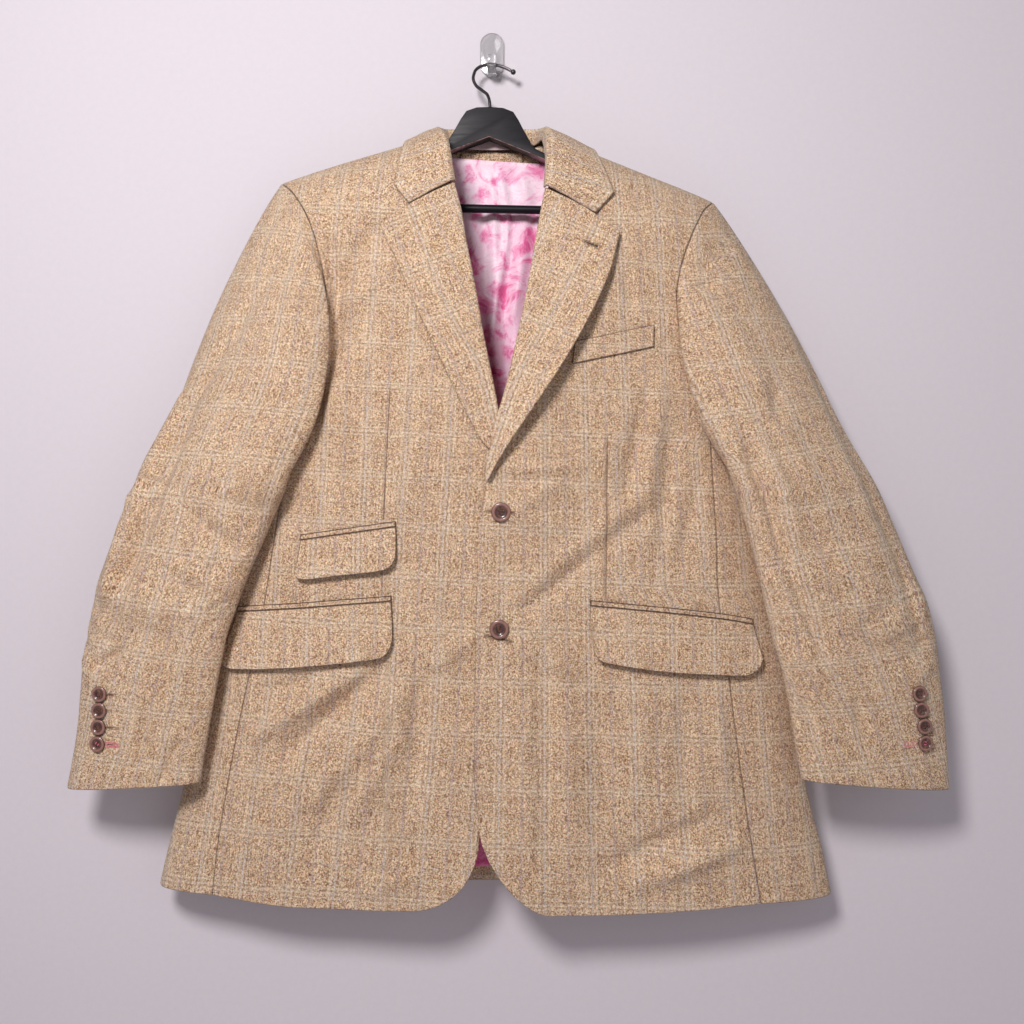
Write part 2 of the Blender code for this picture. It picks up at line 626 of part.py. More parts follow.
# ---------------------------------------------------------------- sleeves
def ring_point(side, ring, turn):
    """Point of the arm below the underarm; ring counts the rows of its table."""
    table = SLEEVE[side]
    places = range(len(table))
    value = {key: Line(places, [getattr(row, key) for row in table])(ring) for key in Arms._fields}
    outer = Vector((side * value["outer_x"], value["outer_y"], value["outer_z"]))
    inner = Vector((side * value["inner_x"], value["inner_y"], value["inner_z"]))
    angle = math.radians(turn)
    power = 2 / SLEEVE_POWER
    across = math.copysign(abs(math.cos(angle)) ** power, math.cos(angle))
    depth = math.copysign(abs(math.sin(angle)) ** power, math.sin(angle))
    reach = value["front"] if depth > 0 else value["back"]
    return (outer + inner) / 2 + (outer - inner) / 2 * across + Vector((0, -reach * depth, 0))


def clear_of_body(side, place, clear, own):
    """The place itself, or the nearest one outside the body by clear, rather near its own turn."""
    best = None
    for i in range(125):
        around = between(0.18, 0.80, i / 124)
        point = body_point(side, around, place.z)
        gap = (place - point).length + OWN_PULL * abs(around - own)
        if best is None or gap < best[0]:
            best = (gap, around, point)
    gap, around, point = best
    normal = body_normal(side, around, place.z)
    if (place - point).dot(normal) > clear:
        return place
    return point + normal * clear


def sleeve_grid(side):
    """Rings from the armhole to the cuff over all turns, with the way out."""
    turns = TOP_TURNS + UNDER_TURNS[1:-1]
    rings = []
    for t in HEAD_RINGS:
        ring = []
        for turn in turns:
            around, z = armhole_place(side, turn)
            start = body_point(side, around, z)
            end = ring_point(side, 0.0, turn)
            place = start.lerp(end, t)
            out = (end - ring_point(side, 0.0, turn + 180)).normalized()
            out.z = max(out.z, 0.0)
            place += out * HEAD_FULLNESS * math.sin(math.pi * min(t * 1.35, 1.0)) ** 0.8
            if t and 175 < turn < 300:
                place = clear_of_body(side, place, min(2.0 + 16.0 * t, SLEEVE_CLEAR), around)
            ring.append(place)
        rings.append(ring)
    for number in ARM_RINGS:
        ring = []
        for turn in turns:
            place = ring_point(side, number, turn)
            centre = ring_point(side, number, 90).lerp(ring_point(side, number, 270), 0.5)
            out = (place - centre).normalized()
            place += out * sleeve_crease(side, number, turn)
            if 165 < turn < 330:
                place = clear_of_body(side, place, SLEEVE_CLEAR, armhole_place(side, turn)[0])
            ring.append(place)
        rings.append(ring)
    normals = []
    count = len(turns)
    for i, ring in enumerate(rings):
        line = []
        for j in range(count):
            along = rings[min(i + 1, len(rings) - 1)][j] - rings[max(i - 1, 0)][j]
            around = ring[(j + 1) % count] - ring[j - 1]
            line.append((around.cross(along) * side).normalized())
        normals.append(line)
    for j, turn in enumerate(turns):
        around, z = armhole_place(side, turn)
        normals[0][j] = rim_way(body_normal(side, around, z), turn)
        away = (rings[1][j] - rings[0][j]).normalized()
        rings[0][j] = rings[0][j] + away * SLEEVE_GAP
    return turns, rings, normals


def rim_way(body_way, turn):
    """Way out of the sleeve's edge: with the body's cloth, but down at the underarm."""
    under = ease((turn - 150) / 45) * ease((295 - turn) / 35)
    return body_way.lerp(Vector((0, 0, -1)), under).normalized()


def sleeve_crease(side, ring, turn):
    total = 0.0
    for c in SLEEVE_CREASES[side]:
        scale = 60.0
        run = Vector((c.ring1 - c.ring0, (c.turn1 - c.turn0) / scale))
        place = Vector((ring - c.ring0, (turn - c.turn0) / scale))
        along = place.dot(run) / run.length_squared
        off = (place - run * min(max(along, 0.0), 1.0)).length
        fade = math.sin(math.pi * min(max((along + 0.3) / 1.6, 0.0), 1.0))
        total += c.height * fade * math.exp(-(off / c.width) ** 2)
    return total * ease(ring / 0.5)


def sleeves(side, into):
    who = "right" if side < 0 else "left"
    turns, rings, normals = sleeve_grid(side)
    count = len(turns)
    seam = len(TOP_TURNS) - 1
    top = list(range(seam + 1))
    under = list(range(seam, count)) + [0]
    for name, order in (("top_sleeve_" + who, top), ("under_sleeve_" + who, under)):
        grid = []
        for ring, ways in zip(rings, normals):
            line = [(ring[j], ways[j]) for j in order]
            for end, beside in ((0, 1), (-1, -2)):
                point, way = line[end]
                inward = (line[beside][0] - point).normalized()
                line[end] = (point + inward * SEAM_GAP / 2, way)
            grid.append(line)
        wall(name, grid, SLEEVE_CLOTH, "tweed", into)


# ---------------------------------------------------------------- collar and lapels
def collar_edge(side, fold):
    """Free edge of the collar, just clear of the cloth that it lies on."""
    lift = COLLAR_LIFT
    around = round_of(fold.edge_x, side, fold.edge_z)
    if fold.face == "front":
        return on_body(side, around, fold.edge_z, lift)[0]
    if fold.face == "back":
        return on_body(side, 1 - around, fold.edge_z, lift)[0]
    return Vector((side * fold.edge_x, RIDGE_Y, RIDGE[side](fold.edge_x) + lift))


def collar_section(side, fold):
    """From the stand up over the fold and down to the free edge, along the outside."""
    stand = Vector((side * fold.stand_x, fold.stand_y, fold.stand_z))
    top = Vector((side * fold.fold_x, fold.fold_y, fold.fold_z))
    edge = collar_edge(side, fold)
    rise = (top - stand).normalized()
    out = (edge - top).normalized()
    return [stand, stand.lerp(top, 0.55), top - rise * 1.5, top,
            top + out * 4.0 + (top - stand).normalized() * 0.2, top.lerp(edge, 0.45) + Vector((0, 0, 0.6)),
            top.lerp(edge, 0.75), edge]


def spread(sections, per_gap):
    """More sections between those given, on a smooth curve through them."""
    count = len(sections[0])
    places = range(len(sections))
    lines = [[Line(places, [s[j][k] for s in sections]) for k in range(3)] for j in range(count)]
    made = []
    steps = (len(sections) - 1) * per_gap
    for i in range(steps + 1):
        made.append([Vector([line(i / per_gap) for line in lines[j]]) for j in range(count)])
    return made


def with_normals(rows, flip):
    """Grid of (point, way out) with the way out from the grid itself."""
    grid = []
    for i, row in enumerate(rows):
        line = []
        for j, point in enumerate(row):
            along = rows[min(i + 1, len(rows) - 1)][j] - rows[max(i - 1, 0)][j]
            across = row[min(j + 1, len(row) - 1)] - row[max(j - 1, 0)]
            line.append((point, (along.cross(across) * flip).normalized()))
        grid.append(line)
    return grid


def collar(into):
    right = [collar_section(-1, fold) for fold in COLLAR[-1]]
    left = [collar_section(1, fold) for fold in COLLAR[1]]
    rows = with_normals(spread(right + left[::-1], 2), -1)
    wall("collar", rows, COLLAR_CLOTH, "tweed", into)
    return rows


def lapel(side, into):
    """The turned-back front: it wraps the fold line and lies on the front to its edge."""
    name = "lapel_right" if side < 0 else "lapel_left"
    table = LAPEL[side]
    places = range(len(table))
    lines = {key: Line(places, [getattr(row, key) for row in table]) for key in Lapel._fields}
    steps = (len(table) - 1) * 2
    grid = []
    for i in range(steps + 1):
        at = i / 2
        value = {key: line(at) for key, line in lines.items()}
        width = math.hypot(value["edge_x"] - value["fold_x"], value["edge_z"] - value["fold_z"])
        base = LAPEL_LIFT + LAPEL_CLOTH
        wraps = ((-2.6, -1.2), (-2.2, base - 1.0), (0.6, base + 0.6))
        offsets = [(d / max(width, 8.0), lift) for d, lift in wraps]
        for j in range(1, LAPEL_COLUMNS + 1):
            t = j / LAPEL_COLUMNS
            offsets.append((max(t, 3.2 / max(width, 8.0)), base + 0.6 * (1 - t) + value["stand"] * t ** 1.5))
        line = []
        for t, lift in offsets:
            x = between(value["fold_x"], value["edge_x"], t)
            z = between(value["fold_z"], value["edge_z"], t)
            point, normal = on_front(x, z, 0.0, side)
            point += normal * (overlap_lift(side, x, z) + lift)
            line.append((point, normal))
        grid.append(line)
    flat = with_normals([[p for p, _ in row] for row in grid], side)
    return wall(name, flat, LAPEL_WALL, "tweed", into)


# ---------------------------------------------------------------- pockets
def patch(name, table, lift, low_lift, thickness, rows, look, into):
    """A flap, welt or jet that follows the front between its top and bottom line."""
    grid = []
    for i in range(rows + 1):
        t = i / rows
        line = []
        for flap in table:
            place = Vector((flap.top_x, flap.top_z)).lerp(Vector((flap.low_x, flap.low_z)), t)
            side = -1 if place.x < 0 else 1
            point, normal = on_front(place.x, place.y, 0.0, side)
            height = between(lift, low_lift, t) + overlap_lift(side, place.x, place.y)
            line.append((point + normal * (height + thickness), normal))
        grid.append(line)
    return wall(name, grid, thickness, look, into)


def jet_over(table):
    """The narrow jet that stands just above a flap's top line."""
    low = [(f.top_x, f.top_z + SEAM_GAP) for f in table]
    return [Flap(x, z + JET_HEIGHT, x, z) for x, z in low]


def pockets(into):
    for name, table in (("hip_right", RIGHT_HIP), ("hip_left", LEFT_HIP), ("ticket", TICKET)):
        patch("flap_" + name, table, FLAP_LIFT, FLAP_LIFT_LOW, FLAP_CLOTH, 3, "tweed", into)
        patch("jet_" + name, jet_over(table), JET_LIFT, JET_LIFT, JET_CLOTH, 1, "tweed", into)
    patch("welt_chest", WELT, WELT_LIFT, WELT_LIFT, WELT_CLOTH, 2, "tweed", into)


# ---------------------------------------------------------------- inside
def inside_back(name, half, top, bottom, behind, thickness, columns, rows, creases, look, into):
    """A layer on the inside of the back; behind is its distance from the outside."""
    grid = []
    for i in range(rows + 1):
        line = []
        for j in range(columns + 1):
            x = between(-half, half, j / columns)
            side = -1 if x < 0 else 1
            high = top(x) if callable(top) else top
            z = between(high, bottom, i / rows)
            around = 1 - round_of(x, side, z)
            place = body_point(side, around, z)
            normal = body_normal(side, around, z)
            height = behind
            if creases:
                height += max(crease_height(creases, x, z) + 2.0, 0.0) * ease((-122 - z) / 70)
            relief = crease_height(BACK_CREASES, x, z) * ease((RIDGE[side](abs(x)) - z) / SHOULDER_ROUND)
            relief *= ease((abs(around - 0.5)) / 0.12)
            line.append((place + normal * (relief - height), -normal))
        grid.append(line)
    return wall(name, grid, thickness, look, into)


def lining_top(x):
    return -122.3 - 46 * ease((abs(x) - 44) / 40) - 0.32 * max(abs(x) - 60, 0)


def inside(into):
    inside_back("lining_back", 140, lining_top, -889, BACK_CLOTH + 4.6, LINING_CLOTH, 22, 20,
                LINING_CREASES, "lining", into)
    inside_back("hem_facing_back", 200, -868, -904.5, BACK_CLOTH + 2.6, 1.5, 14, 2, (), "tweed", into)
    inside_back("neck_facing", 34, -113.5, -124, BACK_CLOTH + 2.8, 1.3, 6, 2, (), "tweed", into)


def neck_band(collar_rows, into):
    """Plain pale band sewn to the inside of the collar stand."""
    grid = []
    for row in collar_rows:
        stand, middle = row[0], row[1]
        if -34 < stand[0].x < 27:
            normal = (stand[1] + middle[1]).normalized()
            line = [stand[0].lerp(middle[0], t) - normal * (COLLAR_CLOTH + BAND_LIFT) for t in (-0.22, 0.4, 0.95)]
            grid.append([(point, -normal) for point in line])
    return wall("neck_band", grid, BAND_CLOTH, "band", into)


# ---------------------------------------------------------------- buttons
def button(name, diameter, place, facing, into):
    """Turned four-hole button blank with a raised rim, facing along the cloth's way out."""
    r = diameter / 2 * MM
    profile = ((0.0, 0.55), (0.5, 0.55), (0.66, 0.95), (0.86, 1.0), (1.0, 0.6), (0.92, 0.0), (0.0, 0.0))
    height = 0.32 * r
    mesh = bpy.data.meshes.new(name)
    points = [(r * out, 0.0, height * up) for out, up in profile]
    mesh.from_pydata(points, [(i, i + 1) for i in range(len(points) - 1)], [])
    made = add_mesh(name, mesh, "horn", into)
    spin = made.modifiers.new("turn", "SCREW")
    spin.steps = 14
    spin.render_steps = 14
    spin.use_merge_vertices = True
    spin.merge_threshold = 0.00001
    made.rotation_mode = "QUATERNION"
    made.rotation_quaternion = facing.to_track_quat("Z", "Y")
    made.location = place * MM
    return made


def buttons(into):
    for number, (x, z) in enumerate(FRONT_BUTTONS, 1):
        point, normal = on_front(x, z, 0.0, 1)
        point += normal * (overlap_lift(1, x, z) + FRONT_SHANK)
        button("button_front_%d" % number, FRONT_BUTTON, point, normal, into)
    for side, places in CUFF_BUTTONS.items():
        who = "right" if side < 0 else "left"
        for number, (x, z) in enumerate(places, 1):
            point, normal = sleeve_surface(side, x, z)
            facing = (normal + Vector((0, -CUFF_FACING, 0))).normalized()
            button("button_cuff_%s_%d" % (who, number), CUFF_BUTTON, point + normal * CUFF_SHANK, facing, into)


def sleeve_surface(side, x, z):
    """Front of the arm at a given x and z."""
    ring, turn = 5.0, 45.0
    for _ in range(40):
        here = ring_point(side, ring, turn)
        ring += (here.z - z) / 55.0 * 0.7
        turn += (side * here.x - x) * 0.25
    here = ring_point(side, ring, turn)
    along = ring_point(side, ring + 0.1, turn) - ring_point(side, ring - 0.1, turn)
    around = ring_point(side, ring, turn + 3) - ring_point(side, ring, turn - 3)
    normal = (around.cross(along) * side).normalized()
    return here, normal


# ---------------------------------------------------------------- hanger and hooks
def flat_outline(name, points, thickness, look, into):
    """Filled outline in its own XY plane, thickness along its Z, turned upright."""
    curve = bpy.data.curves.new(name, "CURVE")
    curve.dimensions = "2D"
    curve.fill_mode = "BOTH"
    curve.extrude = thickness / 2 * MM
    spline = curve.splines.new("POLY")
    spline.points.add(len(points) - 1)
    for point, (x, y) in zip(spline.points, points):
        point.co = (x * MM, y * MM, 0.0, 1.0)
    spline.use_cyclic_u = True
    guide = bpy.data.objects.new(name + "_guide", curve)
    bpy.context.scene.collection.objects.link(guide)
    bpy.context.view_layer.update()
    mesh = bpy.data.meshes.new_from_object(guide.evaluated_get(bpy.context.evaluated_depsgraph_get()))
    bpy.data.objects.remove(guide)
    build = bmesh.new()
    build.from_mesh(mesh)
    bmesh.ops.remove_doubles(build, verts=build.verts, dist=0.000001)
    bmesh.ops.recalc_face_normals(build, faces=build.faces)
    build.to_mesh(mesh)
    build.free()
    return add_mesh(name, mesh, look, into)


def hanger_outline():
    """Yoke and arms from the front; the right half is the left one turned over."""
    top = [(0, -72.3), (14, -73), (25, -77), (31, -86), (36, -95.5), (41, -103.8), (45, -110.9), (50, -116.3),
           (62, -121.4), (80, -127.6), (107, -138.5), (150, -156), (185, -171), (199, -180), (204, -188)]
    low = [(201, -195), (188, -197), (150, -179), (107, -157.5), (80, -140), (64, -129), (42, -120),
           (20, -111.6), (0, -104)]
    half = top + low
    other = [(-x, z) for x, z in half[-2:0:-1]]
    return half + other


def tilted(points, degrees):
    """Turned about the origin, as the hanger leans on its hook."""
    c = math.cos(math.radians(degrees))
    s = math.sin(math.radians(degrees))
    return [(x * c - z * s, x * s + z * c) for x, z in points]


def hanger(parts, cutters):
    body = flat_outline("hanger_body", tilted(hanger_outline(), -1.2), HANGER_THICKNESS, "wood", parts)
    body.rotation_euler = (math.pi / 2, 0, 0)
    body.location = (0, HANGER_Y * MM, 0)
    (left, z_left), (right, z_right) = tilted([(-185, -179), (185, -179)], -1.2)
    reach = math.hypot(right - left, z_right - z_left)
    middle = Vector(((left + right) / 2, HANGER_Y, (z_left + z_right) / 2)) * MM
    for name, grow, look, into in (("bar_socket", 0.3, "wood", cutters), ("hanger_bar", 0.0, "wood", parts)):
        bpy.ops.mesh.primitive_cylinder_add(vertices=16, radius=(BAR_DIAMETER / 2 + grow) * MM,
                                            depth=(reach + 2 * grow) * MM, location=middle)
        rod = bpy.context.object
        rod.name = name
        rod.rotation_euler = (0, math.pi / 2 + math.atan2(z_left - z_right, reach), 0)
        rod.data.materials.append(material(look))
        for found in list(rod.users_collection):
            found.objects.unlink(rod)
        into.objects.link(rod)
        if into is cutters:
            rod.hide_render = True
            rod.display_type = "WIRE"
            cut = body.modifiers.new("socket", "BOOLEAN")
            cut.object = rod
            cut.operation = "DIFFERENCE"
            cut.solver = "EXACT"


def wire_route():
    """Centre of the hook's wire from the yoke to its tip, leaning towards the wall."""
    return [Vector(p) for p in ((-1.5, -36, -71.6), (-2, -35, -64), (-4.5, -32, -55), (-11, -29, -48.5),
                                (-17, -26, -42.5), (-20, -24, -34), (-18, -22, -25.5), (-11, -20.5, -19.5),
                                (-1.7, -20, -17.7), (8, -20, -19), (16, -20.5, -22), (20.5, -21, -24.6))]


def smooth_route(points, per_gap):
    lengths = [0.0]
    for a, b in zip(points, points[1:]):
        lengths.append(lengths[-1] + (b - a).length)
    lines = [Line(lengths, [p[k] for p in points]) for k in range(3)]
    steps = (len(points) - 1) * per_gap
    return [Vector([line(lengths[-1] * i / steps) for line in lines]) for i in range(steps + 1)]


def hooks(parts):
    curve = bpy.data.curves.new("hanger_hook", "CURVE")
    curve.dimensions = "3D"
    curve.bevel_depth = WIRE_DIAMETER / 2 * MM
    curve.bevel_resolution = 2
    curve.use_fill_caps = True
    spline = curve.splines.new("POLY")
    route = smooth_route(wire_route(), 2)
    spline.points.add(len(route) - 1)
    for point, place in zip(spline.points, route):
        point.co = (*(place * MM), 1.0)
    made = bpy.data.objects.new("hanger_hook", curve)
    curve.materials.append(material("wire"))
    parts.objects.link(made)

    tip = bmesh.new()
    bmesh.ops.create_uvsphere(tip, u_segments=12, v_segments=8, radius=2.9 * MM)
    mesh = bpy.data.meshes.new("hook_tip")
    tip.to_mesh(mesh)
    tip.free()
    mesh.shade_smooth()
    ball = add_mesh("hook_tip", mesh, "wire", parts)
    way = (route[-1] - route[-2]).normalized()
    ball.location = (route[-1] + way * 3.3) * MM
    wall_hook(parts)


def wall_hook(parts):
    """Clear plate with round ends flat on the wall, and the tongue that carries the wire."""
    half_wide, half_high = 13.0, 24.0
    plate = []
    for i in range(24):
        angle = 2 * math.pi * (i + 0.5) / 24
        rise = half_high - half_wide
        lift = rise if math.sin(angle) > 0 else -rise
        plate.append((half_wide * math.cos(angle), half_wide * math.sin(angle) + lift))
    made = flat_outline("wall_hook_plate", plate, 3.0, "clear", parts)
    made.rotation_euler = (math.pi / 2, 0, 0)
    made.location = (0, -1.5 * MM, 0)
    tongue = [(-3.3, -13.5), (-3.3, -24.5), (-26, -24.5), (-30, -21), (-31, -12), (-29.8, -9.6), (-28.2, -10.5),
              (-27, -18.5), (-25, -20.0), (-9, -20.0), (-6.5, -17.5), (-5.6, -13.5)]
    made = flat_outline("wall_hook_tongue", tongue, 9.0, "clear", parts)
    made.rotation_euler = (math.pi / 2, 0, math.pi / 2)
    made.location = (0, 0, 0)


# ---------------------------------------------------------------- the whole part
def main():
    for found in list(bpy.data.objects):
        bpy.data.objects.remove(found)
    parts = collection("tweed_hacking_jacket")
    cutters = collection("cutters")
    for side in (-1, 1):
        front_panel(side, parts)
        side_panel(side, parts)
        back_panel(side, parts)
        sleeves(side, parts)
        lapel(side, parts)
    neck_band(collar(parts), parts)
    pockets(parts)
    inside(parts)
    buttons(parts)
    hanger(parts, cutters)
    hooks(parts)


main()
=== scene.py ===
# A tweed hacking jacket, buttoned on a flat wooden hanger that hangs from a clear wall hook.
# The jacket's own tables are in millimetres; side is -1 for the wearer's right and 1 for the left.
import bisect
import math
from collections import namedtuple

import bmesh
import bpy
import numpy as np
from mathutils import Matrix, Vector, noise


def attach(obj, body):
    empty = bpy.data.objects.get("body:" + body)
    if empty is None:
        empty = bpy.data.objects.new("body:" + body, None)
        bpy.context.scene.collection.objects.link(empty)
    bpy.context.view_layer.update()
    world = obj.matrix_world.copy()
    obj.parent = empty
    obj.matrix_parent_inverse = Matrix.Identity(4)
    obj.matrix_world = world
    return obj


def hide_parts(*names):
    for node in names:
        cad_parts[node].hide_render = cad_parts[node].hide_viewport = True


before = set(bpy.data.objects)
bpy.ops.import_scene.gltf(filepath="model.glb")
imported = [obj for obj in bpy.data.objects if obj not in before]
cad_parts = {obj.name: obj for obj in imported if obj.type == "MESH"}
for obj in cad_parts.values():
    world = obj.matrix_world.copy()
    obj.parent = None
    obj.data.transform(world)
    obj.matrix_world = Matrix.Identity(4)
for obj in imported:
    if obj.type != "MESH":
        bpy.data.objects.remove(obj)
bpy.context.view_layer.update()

print("frame loaded")

mm = 0.001
bodyCloth = 2.0
sideCloth = 1.8
backCloth = 1.6
sleeveCloth = 1.8
liningCloth = 1.0
bandCloth = 0.8
seamGap = 0.3
sectionPower = 2.5          # how boxy the body's plan section is
sleevePower = 2.2
shoulderRound = 75.0        # fall of the shoulder from its ridge to the flat chest
ridgeY = -38.0
overlapHigh = 6.6           # left front over right front, above the top button and below it
overlapLow = 3.4
lapelCloth = 2.4
lapelWall = 2.0
lapelLift = 1.3
underFold = 1.4             # how far a front stays back inside its lapel's fold
flapCloth = 2.0
flapLift = 1.2
flapLiftLow = 7.0
jetCloth = 1.2
jetLift = 1.3
jetHeight = 5.5
weltCloth = 1.8
weltLift = 0.8
frontShank = 0.7
cuffShank = 2.4
cuffFacing = 1.0
frontButtons = ((11, -504), (9, -623))
cuffButtons = {-1: ((398.5, -690), (398.8, -706.8), (399.7, -723.7), (400.8, -741)),
               1: ((437, -689.3), (438.9, -706.1), (442.6, -722.9), (443.6, -740.3))}


whose = {-1: "right", 1: "left"}


def rowsOf(kind, *rows):
    return tuple(kind(*row) for row in rows)


# Plan sections of the body: half widths to each side and the depths of its surfaces.
Section = namedtuple("Section", "z right left front back side")
bodySections = rowsOf(Section, (-935, 361, 368, -87, -12, -38), (-867, 346, 354, -90, -12, -38),
    (-795, 328, 336, -93, -13, -39), (-700, 308, 323, -95, -15, -40), (-600, 285, 302, -98, -18, -41),
    (-510, 262, 281, -101, -19, -42), (-405, 246, 256, -103, -14, -42), (-250, 239, 247, -98, -10, -41),
    (-90, 236, 244, -82, -12, -40))

# Height of the shoulder ridge over distance from the centre.
Ridge = namedtuple("Ridge", "x right left")
shoulderTable = rowsOf(Ridge, (0, -86, -86), (60, -103, -103), (107, -117, -121), (165, -134, -144),
    (225, -153, -167.5), (270, -170, -188))

# Height of the hem over distance from the centre, front and back.
Hem = namedtuple("Hem", "x rightFront leftFront rightBack leftBack")
hemTable = rowsOf(Hem, (0, -913, -917, -906, -906), (100, -915, -920, -906, -907),
    (200, -913, -917, -904, -908), (290, -903, -911, -900, -909), (370, -894, -908, -894, -908))

# Rounded front quarters: where the curve starts, its reach, rise and fullness.
Quarter = namedtuple("Quarter", "start reach rise power")
quarterCut = {-1: Quarter(-84, 73, 84, 2.3), 1: Quarter(60, 72, 90, 1.6)}

# Front edges from the hem up: height of the row (0 hem, 1 chest) and x of the edge.
Edge = namedtuple("Edge", "row x")
rightEdge = rowsOf(Edge, (0, -11), (0.1, -1), (0.25, 14), (0.4, 26), (0.5, 30), (0.56, 30))
leftEdge = rowsOf(Edge, (0, -12), (0.08, -16.5), (0.2, -16), (0.42, -13), (0.5, -10.5))

# Roll lines from the button to the neck, then the neck edge under the collar.
Roll = namedtuple("Roll", "x z")
rightRoll = rowsOf(Roll, (21, -452), (8, -407), (4, -385), (-10, -318), (-25, -236), (-33, -192),
    (-40, -164), (-47, -140), (-56, -122), (-66, -106))
leftRoll = rowsOf(Roll, (-9, -492), (-3, -456), (8, -408), (22, -359), (35, -303), (45, -242), (53, -198),
    (58, -170), (64, -140), (66, -122), (69, -107))

# Seam between front and side panel, and between side panel and back, from the hem up.
Seam = namedtuple("Seam", "z front back")
sideSeams = {
    -1: rowsOf(Seam, (-900, 290, 322), (-856, 285, 314), (-762, 269, 297), (-670, 250, 276),
        (-595, 234, 258), (-512, 221, 240), (-466, 213, 234), (-400, 205, 228)),
    1: rowsOf(Seam, (-912, 281, 330), (-833, 268, 318), (-765, 258, 304), (-672, 246, 290),
        (-574, 234, 270), (-500, 231, 255), (-429, 228, 243), (-392, 223, 238)),
}

# The armhole, counted round from the shoulder tip (0) by the front (90) and the underarm
# (235) to the back. face says which surface the point is on.
Arm = namedtuple("Arm", "turn x z face")
armholeTable = {
    -1: rowsOf(Arm, (0, 224, -153.2, "ridge"), (24, 212, -164, "front"), (50, 191, -196, "front"),
        (80, 178, -234, "front"), (112, 170, -276, "front"), (142, 169, -317, "front"),
        (172, 176, -358, "front"), (190, 191, -386, "front"), (205, 208, -400, "front"),
        (220, 232, -408, "front"), (235, 246, -409, "side"), (247, 237, -402, "back"),
        (262, 222, -372, "back"), (278, 207, -330, "back"), (296, 199, -280, "back"),
        (316, 199, -230, "back"), (336, 206, -188, "back"), (350, 216, -164, "back")),
    1: rowsOf(Arm, (0, 237, -173, "ridge"), (24, 226, -184, "front"), (50, 207, -221, "front"),
        (80, 196, -254, "front"), (112, 192, -283, "front"), (142, 195, -316, "front"),
        (172, 204, -347, "front"), (190, 213, -373, "front"), (205, 226, -393, "front"),
        (220, 243, -403, "front"), (235, 256, -406, "side"), (247, 248, -399, "back"),
        (262, 234, -374, "back"), (278, 220, -338, "back"), (296, 212, -292, "back"),
        (316, 212, -246, "back"), (336, 219, -206, "back"), (350, 229, -183, "back")),
}
topTurns = (0, 10, 24, 38, 54, 72, 92, 113, 134, 155, 174, 190)   # columns of the top sleeve
underTurns = (190, 205, 220, 235, 247, 262, 278, 296, 316, 336, 350, 360)
frontSeamTurn = 205       # where the side panel's front seam meets the armhole
backSeamTurn = 247

# Sleeve sections from below the underarm to the cuff: outer and inner edge, and how far
# the cloth stands in front of and behind the line between them.
Arms = namedtuple("Arms", "outerX outerZ innerX innerZ outerY innerY front back")
armSections = {
    -1: rowsOf(Arms, (361, -463, 213, -489, -66, -99, 30, 44), (384, -512, 229, -527, -66, -99, 29, 42),
        (402, -556, 245, -564, -67, -99, 28, 38), (414, -594, 258, -596, -68, -98, 27, 34),
        (421, -636, 270, -632, -69, -97, 24, 31), (427, -676, 278, -672, -70, -95, 22, 28),
        (431, -729, 289, -728, -71, -92, 20, 25), (441, -791, 298, -781, -72, -90, 18, 21)),
    1: rowsOf(Arms, (404, -478, 250, -482, -66, -99, 30, 44), (424, -526, 262, -522, -66, -99, 29, 42),
        (443, -570, 273, -565, -67, -99, 28, 38), (458, -606, 281, -602, -68, -98, 27, 34),
        (465, -640, 290, -640, -69, -97, 25, 31), (469, -680, 301, -678, -70, -96, 23, 28),
        (473, -730, 310, -732, -71, -93, 21, 25), (477, -792, 319, -778, -72, -91, 19, 21)),
}
headRings = (0.0, 0.05, 0.14, 0.27, 0.42, 0.6, 0.8)
armRings = (0.0, 0.6, 1.3, 2.0, 2.6, 3.2, 3.9, 4.6, 5.4, 6.2, 7.0)
headFullness = 9.0         # how far the sleeve head swells past a straight fall
sleeveClear = 6.5          # air between sleeve and body
sleeveGap = 0.5            # at the armhole seam
ownPull = 90.0             # how strongly the under sleeve keeps to its own part of the body
ridgeRow = 1.985           # last row of a panel, just off the shoulder seam

# Collar sections from the gorge to the centre back: fold line, free edge and stand.
Fold = namedtuple("Fold", "foldX foldY foldZ edgeX edgeZ face standX standY standZ")
collarFolds = {
    -1: rowsOf(Fold, (39, -97, -165.8, 83.5, -188.6, "front", 37, -91, -165.8),
        (41, -95, -153, 98.6, -168.9, "front", 39, -89, -153),
        (43, -89, -134, 95.5, -148, "front", 42, -81, -138),
        (48, -71, -110, 92, -127.5, "front", 46, -64, -122),
        (55, -47, -96, 90, -114, "ridge", 53, -43, -108), (50, -26, -90, 82, -131, "back", 47, -23.5, -107),
        (33, -18.5, -88, 60, -137, "back", 31, -22.5, -109),
        (16, -15.5, -88, 30, -139, "back", 15, -21, -110), (0, -14.5, -88, 0, -139, "back", 0, -20.5, -110)),
    1: rowsOf(Fold, (58, -99, -172, 107, -198.6, "front", 56, -92, -172),
        (59, -97, -158, 126, -176.6, "front", 57, -90, -159),
        (60, -90, -136, 119, -155, "front", 58, -82, -140),
        (60, -71, -110, 112.5, -137.5, "front", 57, -64, -123),
        (57, -47, -96, 107, -120, "ridge", 54, -43, -108),
        (50, -26, -90, 88, -134, "back", 47, -23.5, -107),
        (33, -18.5, -88, 60, -138, "back", 31, -22.5, -109),
        (16, -15.5, -88, 30, -139, "back", 15, -21, -110)),
}
collarCloth = 2.2
collarLift = 3.2

